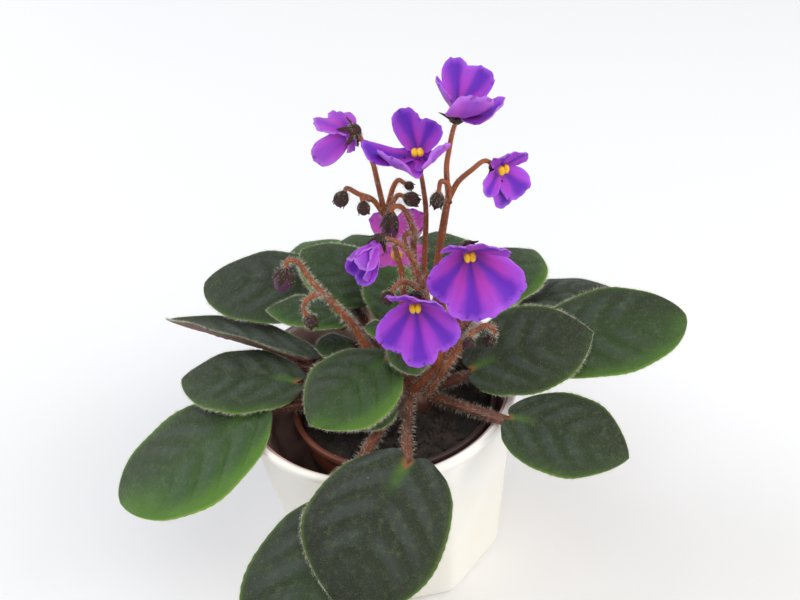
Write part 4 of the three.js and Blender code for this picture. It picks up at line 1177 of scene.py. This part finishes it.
def bud_material():
    """Closed buds: dark brown when young, dark purple when about to open."""
    paint = Paint("bud", Roughness=0.5, Sheen_Weight=0.05, Specular_IOR_Level=0.35)
    u, _ = paint.surface()
    violet = blend(u.rise(0.3, 0.95),
                   paint.mottle(tone(84, 30, 54), tone(72, 28, 70), 200.0, 0.9),
                   tone(104, 44, 104))
    colour = blend(paint.mark("bud_dark"), violet, tone(58, 38, 34))
    return paint.finish(colour, paint.grain(500.0, 2400.0, 0.5)[0])


def petal_material(name, looks, stripe, stripe_share, outer, throat, rim):
    """Violet petals: a blue-violet stripe that widens along each lobe, magenta between the stripes,
    a lilac margin with fine dark dots, and painted shade in the throat. On a pink bloom the stripes
    and the painted throat shade are fainter."""
    paint = Paint(name, Roughness=0.55, Sheen_Weight=0.08, Sheen_Tint=(0.9, 0.8, 1.0),
                  Subsurface_Weight=0.12, Specular_IOR_Level=0.3,
                  Subsurface_Radius=(0.0018, 0.0009, 0.0022), Subsurface_Scale=1.0)
    far, _ = paint.surface()
    blush, across = paint.mark("blush"), paint.mark("across")
    wander = noise(paint.place, 260.0).line(0.3, -0.15)
    streaks = paint.streaks(2.0, 160.0)
    off = across + wander + streaks.line(0.34, -0.17)
    pink = blush.rise(0.8, 1.4)
    faded = pink.line(-0.8, 1.0)
    dots = cells(paint.place, 520.0).math("LESS_THAN", 0.3) * far.rise(0.84, 0.96)
    colour = tuple(looks.petal_lilac)
    for share, over in (
            (blush, tuple(looks.petal_pink)),
            (far.rise(0.4, 1.0) * 0.8, outer),
            (pink, tone(226, 100, 208)),
            ((off - far * 0.14).fall(0.08, 0.66) * faded * stripe_share, stripe),
            # painted shade: the throat darker where the upper lobes shade it
            (far.fall(0.05, 0.55) * faded * 0.75, throat),
            (streaks.rise(0.5, 0.75) * 0.25, tone(96, 40, 160)),
            ((far + wander * 0.2).rise(0.86, 1.0) * 0.55, rim),
            (dots * 0.6, tone(84, 20, 120))):
        colour = blend(share, colour, over)
    return paint.finish(colour, paint.grain(520.0, 3200.0, 0.55)[0] + streaks * 0.5, 0.3, 0.0003)


def anther_material(looks):
    """Smooth bright yellow anthers with patches of a deeper yellow."""
    paint = Paint("anther", Roughness=0.35, Subsurface_Weight=0.2,
                  Subsurface_Radius=(0.002, 0.0014, 0.0003))
    colour = paint.mottle(looks.anther_yellow, tone(214, 140, 16), 420.0, 0.7)
    return paint.finish(colour, paint.grain(900.0, 3600.0, 0.5)[0], 0.3, 0.0003)


# Sizes and colours that a user may change


def span(name, description, default):
    """A length, given in millimetres and kept in metres."""
    return bpy.props.FloatProperty(name=name, description=description, default=default * MM,
                                   unit="LENGTH", precision=5)


def amount(name, description, default):
    """A plain number."""
    return bpy.props.FloatProperty(name=name, description=description, default=default)


def colour_of(name, description, default):
    """A colour."""
    return bpy.props.FloatVectorProperty(name=name, description=description, default=default,
                                         subtype="COLOR", size=3)


class PotSettings(bpy.types.PropertyGroup):
    rim_radius: span("Rim radius", "Outer radius of the round rim", 45.0)
    base_radius: span("Base radius", "Radius to a corner of the eight-sided base", 36.0)
    lip_width: span("Lip width", "Width of the lip seen from above", 2.4)
    pot_colour: colour_of("Pot colour", "Colour of the cover pot", tone(246, 245, 240))
    lining_colour: colour_of("Lining colour", "Colour of the cover pot's inside",
                             tone(212, 178, 168))
    nursery_colour: colour_of("Nursery pot colour", "Colour of the inner pot", tone(118, 62, 40))
    peat_colour: colour_of("Peat colour", "Colour of the peat", tone(36, 32, 30))


class LeafSettings(bpy.types.PropertyGroup):
    quilt_depth: span("Quilt depth", "How far the blade swells between its veins", 0.85)
    hair_length: span("Hair length", "Length of the hairs on the blade", 0.85)
    hair_density: amount("Hair density", "Hairs for each square millimetre of the blade", 2.0)
    fringe_length: span("Fringe length", "Length of the hairs round the margin", 1.25)
    leaf_dark: colour_of("Leaf centre", "Colour of the middle of a blade", tone(33, 33, 23))
    leaf_bright: colour_of("Leaf margin", "Colour of a lit margin", tone(88, 132, 34))
    leaf_under: colour_of("Under side", "Colour of a blade's under side", tone(98, 46, 44))


class FlowerSettings(bpy.types.PropertyGroup):
    stalk_hair_length: span("Stalk hair length", "Length of the hairs on the flower stalks", 1.7)
    stalk_hair_density: amount("Stalk hair density", "Hairs for each millimetre of a flower stalk",
                               10.0)
    petal_lilac: colour_of("Petal", "Main colour of a petal", tone(163, 54, 200))
    petal_pink: colour_of("Pink petal", "Main colour of a pinker petal", tone(174, 42, 152))
    petal_stripe: colour_of("Stripe", "Colour of the stripe down a petal", tone(92, 28, 178))
    anther_yellow: colour_of("Anthers", "Colour of the anthers", tone(250, 200, 20))


class StageSettings(bpy.types.PropertyGroup):
    floor_colour: colour_of("Floor", "Colour of the floor", tone(240, 240, 242))
    brightness: amount("Brightness", "Strength of the studio light, 1 is as made", 1.0)


# Operators


class MakeCoverPot(bpy.types.Operator):
    """Make the white cover pot and its brown lining"""

    bl_idname = "violet.cover_pot"
    bl_label = "Cover pot"

    def execute(self, context):
        sizes = context.scene.violet_pot
        rim, base = sizes.rim_radius / MM, sizes.base_radius / MM
        inner = rim - sizes.lip_width / MM
        heel, outer_lip, inner_lip = 2.2, 1.1, 0.9

        def wall(angle, height):
            return cover_pot_radius(angle, height, rim, base)

        outline = [(0, 0.6, 0), (base - 6, 0.6, 0), (base - 6.8, 0.0, 0)]
        outline += [(heel * (1 - math.sin(t)), heel * (1 - math.cos(t)), 1)
                    for t in np.linspace(0, math.pi / 2, 7)]
        outline += [(0, height, 1) for height in np.linspace(6, POT_HEIGHT - 3.3, 26)]
        outline += [(-0.12, POT_HEIGHT - 3.1, 1)]
        outline += [(rim - 0.35, POT_HEIGHT - 2.9, 0), (rim - 0.1, POT_HEIGHT - 2.6, 0)]
        outline += arc((rim - outer_lip, POT_HEIGHT - outer_lip), outer_lip, 0, 90, 7)
        outline += arc((inner + inner_lip, POT_HEIGHT - inner_lip), inner_lip, 90, 180, 6)
        outline += [(inner, POT_HEIGHT - 2.4, 0)]
        outline += [(POT_WALL, height, 1)
                    for height in np.linspace(POT_HEIGHT - 7, POT_FLOOR + 1, 16)]
        outline += [(POT_WALL + 1, POT_FLOOR, 1), (0, POT_FLOOR, 0)]
        build("cover_pot", [turned_wall(outline, 192, wall)], [white_plastic(sizes)],
              ["pot"])
        outer = POT_WALL + GAP
        deep = outer + LINING_WALL
        foot = POT_FLOOR + GAP
        top = POT_HEIGHT - 1.2
        face, back = inner - GAP - LINING_WALL, inner - GAP
        lining = [(0, foot, 0), (outer + 1, foot, 1)]
        lining += [(outer, height, 1) for height in np.linspace(foot + 1, POT_HEIGHT - 7, 14)]
        lining += [(back, top - 0.3, 0), (back - 0.2, top, 0)]
        lining += [(face + 0.2, top, 0), (face, top - 0.3, 0)]
        lining += [(deep, height, 1) for height in np.linspace(POT_HEIGHT - 7, foot + 2, 14)]
        lining += [(deep + 1, foot + LINING_WALL, 1), (0, foot + LINING_WALL, 0)]
        brown = brown_plastic("brown_plastic", sizes.lining_colour, tone(136, 106, 98), 0.5)
        build("cover_pot_lining", [turned_wall(lining, 160, wall)], [brown],
              ["pot_lining"])
        return {"FINISHED"}


class MakeNurseryPot(bpy.types.Operator):
    """Make the thin inner pot with its rolled rim"""

    bl_idname = "violet.nursery_pot"
    bl_label = "Nursery pot"

    def execute(self, context):
        def radius(height):
            share = (height - NURSERY_FOOT) / (NURSERY_TOP - NURSERY_FOOT)
            return NURSERY_BASE_RADIUS + (NURSERY_RADIUS - NURSERY_BASE_RADIUS) * share

        lip = NURSERY_TOP - 2.6
        outline = [(0, NURSERY_FOOT, 0), (NURSERY_BASE_RADIUS - 0.9, NURSERY_FOOT, 0)]
        outline += [(radius(h), h, 0) for h in np.linspace(NURSERY_FOOT + 0.9, lip - 0.2, 18)]
        outline += [(radius(lip) + 0.9, lip, 0), (radius(lip) + 1, lip + 0.3, 0)]
        outline += [(NURSERY_RADIUS + 1, NURSERY_TOP - 0.4, 0),
                    (NURSERY_RADIUS + 0.7, NURSERY_TOP, 0)]
        outline += [(NURSERY_RADIUS - 0.6, NURSERY_TOP, 0),
                    (NURSERY_RADIUS - 1, NURSERY_TOP - 0.5, 0)]
        outline += [(radius(h) - 1, h, 0)
                    for h in np.linspace(NURSERY_TOP - 2, NURSERY_FOOT + 1.6, 16)]
        outline += [(NURSERY_BASE_RADIUS - 1.8, NURSERY_FOOT + 1, 0), (0, NURSERY_FOOT + 1, 0)]
        orange = brown_plastic("terracotta_plastic", context.scene.violet_pot.nursery_colour,
                               tone(80, 46, 34), 0.55, tone(40, 34, 32))
        build("inner_pot", [turned_wall(outline, 128, None, NURSERY_CENTRE)], [orange],
              ["nursery_pot"])
        return {"FINISHED"}


class MakePeat(bpy.types.Operator):
    """Make the lumpy peat with loose crumbs on it"""

    bl_idname = "violet.peat"
    bl_label = "Peat"

    def execute(self, context):
        def lumps(x, y):
            """Broad waves over the top of the peat."""
            return (np.sin(0.55 * x + 1.3) * np.cos(0.47 * y - 0.4)
                    + 0.6 * np.sin(0.9 * y + 0.3 * x))

        cx, cy = NURSERY_CENTRE
        foot = NURSERY_FOOT + 1 + GAP
        rings = np.concatenate([[0.0], np.linspace(0.02, 1, 60)])[:, None]
        angle = ring_angles(120)
        x, y = rings * SOIL_RADIUS * np.cos(angle), rings * SOIL_RADIUS * np.sin(angle)
        fine = (0.35 * np.sin(2.1 * x + 0.7 * y) * np.sin(1.9 * y - 0.8 * x + 2)
                + 0.2 * np.sin(4.3 * x) * np.sin(3.9 * y))
        top = SOIL_TOP + (0.55 * lumps(x, y) + fine) * fade(0, 0.25, 1 - rings)
        surface = np.stack([cx + x, cy + y, top], -1)
        side = [(SOIL_RADIUS, 50.0), (22.5, foot + 2), (21.0, foot), (0.0, foot)]
        walls = np.array([np.stack([cx + r * np.cos(angle), cy + r * np.sin(angle),
                                    np.full(len(angle), z)], -1) for r, z in side])
        body = strip(np.concatenate([walls[::-1], surface[::-1]]))
        rng = np.random.default_rng(11)
        r = SOIL_RADIUS * 0.97 * np.sqrt(rng.uniform(0, 1, CRUMBS))
        a = rng.uniform(0, math.tau, CRUMBS)
        x, y = r * np.cos(a), r * np.sin(a)
        size = rng.uniform(0.25, 1.0, CRUMBS) ** 1.5 * 1.1
        corners = unit(np.array([
            [0, 0, 1], [0, 0, -1], [1, 0, 0.2], [0.3, 0.95, -0.2], [-0.8, 0.6, 0.2],
            [-0.8, -0.6, -0.2], [0.3, -0.95, 0.2]]))
        knobs = corners * (size[:, None] * rng.uniform(0.65, 1.2, (CRUMBS, 7)))[..., None]
        spot = np.stack([cx + x, cy + y, SOIL_TOP + 0.55 * lumps(x, y) + 0.2 * size], -1)
        ring = np.arange(2, 7)
        after = np.roll(ring, -1)
        sides = np.concatenate([np.stack([np.zeros(5, int), ring, after], 1),
                                np.stack([np.ones(5, int), after, ring], 1)])
        crumbs = dict(points=(spot[:, None] + knobs).reshape(-1, 3),
                      faces=(np.arange(CRUMBS)[:, None, None] * 7 + sides).reshape(-1, 3),
                      uv=np.zeros((CRUMBS * 7, 2)), material=np.zeros(CRUMBS * 10, int), marks={})
        build("peat_surface", [body, crumbs], [peat(context.scene.violet_pot)], ["soil"])
        return {"FINISHED"}


class MakeLeafStalks(bpy.types.Operator):
    """Make the crown with every thick, hairy leaf stalk"""

    bl_idname = "violet.leaf_stalks"
    bl_label = "Leaf stalks"

    def execute(self, context):
        stem = stem_material("leaf_stalk", tone(106, 54, 34), tone(68, 40, 26))
        parts = [pod(np.subtract(CROWN, (0, 0, 1.5)), (0, 0, 1), 6.5, 9.8, 20, 28, 0.06)]
        for k, leaf in enumerate(LEAVES.values()):
            leaf = {**LEAF_SHAPE, **leaf}
            path, radius = leaf_stalk_path(leaf)
            radii = radius * (1.08 - 0.16 * np.sin(np.linspace(0, math.pi, len(path))))
            parts.append(tube(path, radii, 18, ridge=0.06))
            parts.append(tube_hairs(path, radii, 9 if leaf["small"] else 13, 1.6,
                                    LEAF_STALK_HAIR, 1, 300 + k))
        build("leaf_stalks", parts, [stem, hair_material("plant_hair")], ["crown"])
        return {"FINISHED"}


class MakeLeaves(bpy.types.Operator):
    """Make the velvety heart-shaped leaf blades"""

    bl_idname = "violet.leaves"
    bl_label = "Leaves"

    def execute(self, context):
        looks = context.scene.violet_leaf
        materials = [leaf_upper(looks), leaf_under(looks), hair_material("plant_hair"),
                     hair_material("blade_hair")]
        for k, (name, leaf) in enumerate(LEAVES.items()):
            parts = leaf_parts({**LEAF_SHAPE, **leaf}, looks, 40 + 9 * k)
            build(name + "_blade", parts, materials, [name])
        return {"FINISHED"}


class MakeFlowerStalks(bpy.types.Operator):
    """Make the hairy flower stalks with their calyces and buds"""

    bl_idname = "violet.flower_stalks"
    bl_label = "Flower stalks"

    def execute(self, context):
        looks = context.scene.violet_flower
        materials = [stem_material("flower_stalk", tone(160, 84, 42), tone(114, 58, 30)),
                     sepal_material(), hair_material("plant_hair"), bud_material()]
        for k, (name, stalk) in enumerate(FLOWER_STALKS.items()):
            parts = flower_stalk_parts(stalk, looks, 500 + 40 * k)
            build(name + "_stems", parts, materials, [name])
        return {"FINISHED"}


class MakeBlooms(bpy.types.Operator):
    """Make the violet blooms with their yellow anthers"""

    bl_idname = "violet.blooms"
    bl_label = "Blooms"

    def execute(self, context):
        looks = context.scene.violet_flower
        materials = [
            # The third colour of each, tone(84, 20, 122) and tone(110, 46, 150), is painted shade
            # in the throat.
            petal_material("petal", looks, tuple(looks.petal_stripe), 0.9, tone(158, 72, 214),
                           tone(84, 20, 122), tone(176, 96, 232)),
            petal_material("petal_back", looks, tone(120, 52, 184), 0.55, tone(176, 92, 208),
                           tone(110, 46, 150), tone(184, 120, 226))]
        yellow = anther_material(looks)
        for k, (name, bloom) in enumerate(BLOOMS.items()):
            build("petals_" + name, bloom_parts(bloom, 700 + 11 * k), materials,
                  ["bloom_" + name])
            if bloom["anthers"] is not None:
                throat, front, up, right = bloom_axes(bloom)
                centre = throat + front * 1.9 + up * bloom["anthers"]
                lobes = [pod(centre + right * hand * 0.78, up, 1.5, 0.98, 24, 20, 0.07)
                         for hand in (-1, 1)]
                build("anther_pair_" + name, lobes, [yellow], ["anthers_" + name])
        return {"FINISHED"}


def stand(name, data, across, above, back, place):
    """Puts a light or camera in the scene, looking against back."""
    rows = np.vstack([np.column_stack([across, above, back, place]), [0, 0, 0, 1]])
    item = bpy.data.objects.new(name, data)
    item.matrix_world = Matrix(rows.tolist())
    bpy.context.scene.collection.objects.link(item)
    return item


class MakeStage(bpy.types.Operator):
    """Make the pale floor, the soft lights and the camera"""

    bl_idname = "violet.stage"
    bl_label = "Stage"

    def execute(self, context):
        scene = context.scene
        settings = scene.violet_stage
        mesh = bpy.data.meshes.new("floor")
        corners = [(x * FLOOR_REACH, y * FLOOR_REACH, FLOOR_HEIGHT)
                   for x, y in ((-1, -1), (1, -1), (1, 1), (-1, 1))]
        mesh.from_pydata(corners, [], [(0, 1, 2, 3)])
        paint = Paint("floor_paper", Roughness=0.85)
        mesh.materials.append(paint.finish(
            paint.mottle(settings.floor_colour, tone(246, 244, 238), 2.0, 0.5)))
        floor = bpy.data.objects.new("floor", mesh)
        scene.collection.objects.link(floor)
        world = bpy.data.worlds.new("studio")
        world.use_nodes = True
        background = world.node_tree.nodes["Background"]
        background.inputs[0].default_value = SKY_COLOUR
        background.inputs[1].default_value = SKY_STRENGTH * settings.brightness
        scene.world = world
        for name, (place, aim, size, power, colour) in LIGHTS.items():
            light = bpy.data.lights.new(name, "AREA")
            light.size = size
            light.energy = power * settings.brightness
            light.color = colour
            back = unit(np.subtract(place, aim))
            across = unit(np.cross([0, 0, 1.0], back))
            stand(name, light, across, np.cross(back, across), back, place)
        across = np.array([1.0, 0, 0])
        back = np.array([0, -math.cos(CAMERA_ELEVATION), math.sin(CAMERA_ELEVATION)])
        above = np.cross(back, across)
        camera = bpy.data.cameras.new("camera")
        camera.sensor_width = 36
        camera.lens = CAMERA_LENS
        camera.clip_start = 0.01
        scene.camera = stand(
            "camera", camera, turned(across, back, CAMERA_ROLL), turned(above, back, CAMERA_ROLL),
            back, CAMERA_AIM + back * CAMERA_DISTANCE)
        scene.view_settings.view_transform = "Standard"
        return {"FINISHED"}


class VioletPanel(bpy.types.Panel):
    """The violet's parts and their settings"""

    bl_idname = "VIEW3D_PT_violet"
    bl_label = "Potted African violet"
    bl_space_type = "VIEW_3D"
    bl_region_type = "UI"
    bl_category = "Violet"

    def draw(self, context):
        for group in SETTINGS:
            box = self.layout.box()
            settings = getattr(context.scene, group)
            for name in settings.bl_rna.properties.keys():
                if name not in ("rna_type", "name"):
                    box.prop(settings, name)
        for operator in OPERATORS:
            self.layout.operator(operator.bl_idname)


SETTINGS = {"violet_pot": PotSettings, "violet_leaf": LeafSettings,
            "violet_flower": FlowerSettings, "violet_stage": StageSettings}
OPERATORS = (MakeStage, MakeCoverPot, MakeNurseryPot, MakePeat, MakeLeafStalks, MakeLeaves,
             MakeFlowerStalks, MakeBlooms)


def register():
    for group in SETTINGS.values():
        bpy.utils.register_class(group)
    for name, group in SETTINGS.items():
        setattr(bpy.types.Scene, name, bpy.props.PointerProperty(type=group))
    for operator in OPERATORS:
        bpy.utils.register_class(operator)
    bpy.utils.register_class(VioletPanel)


def unregister():
    bpy.utils.unregister_class(VioletPanel)
    for operator in reversed(OPERATORS):
        bpy.utils.unregister_class(operator)
    for name in SETTINGS:
        delattr(bpy.types.Scene, name)
    for group in reversed(SETTINGS.values()):
        bpy.utils.unregister_class(group)


def main():
    """Registers the classes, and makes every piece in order."""
    register()
    bpy.ops.violet.stage()
    bpy.ops.violet.cover_pot()
    bpy.ops.violet.nursery_pot()
    bpy.ops.violet.peat()
    bpy.ops.violet.leaf_stalks()
    bpy.ops.violet.leaves()
    bpy.ops.violet.flower_stalks()
    bpy.ops.violet.blooms()


if __name__ == "__main__":
    main()
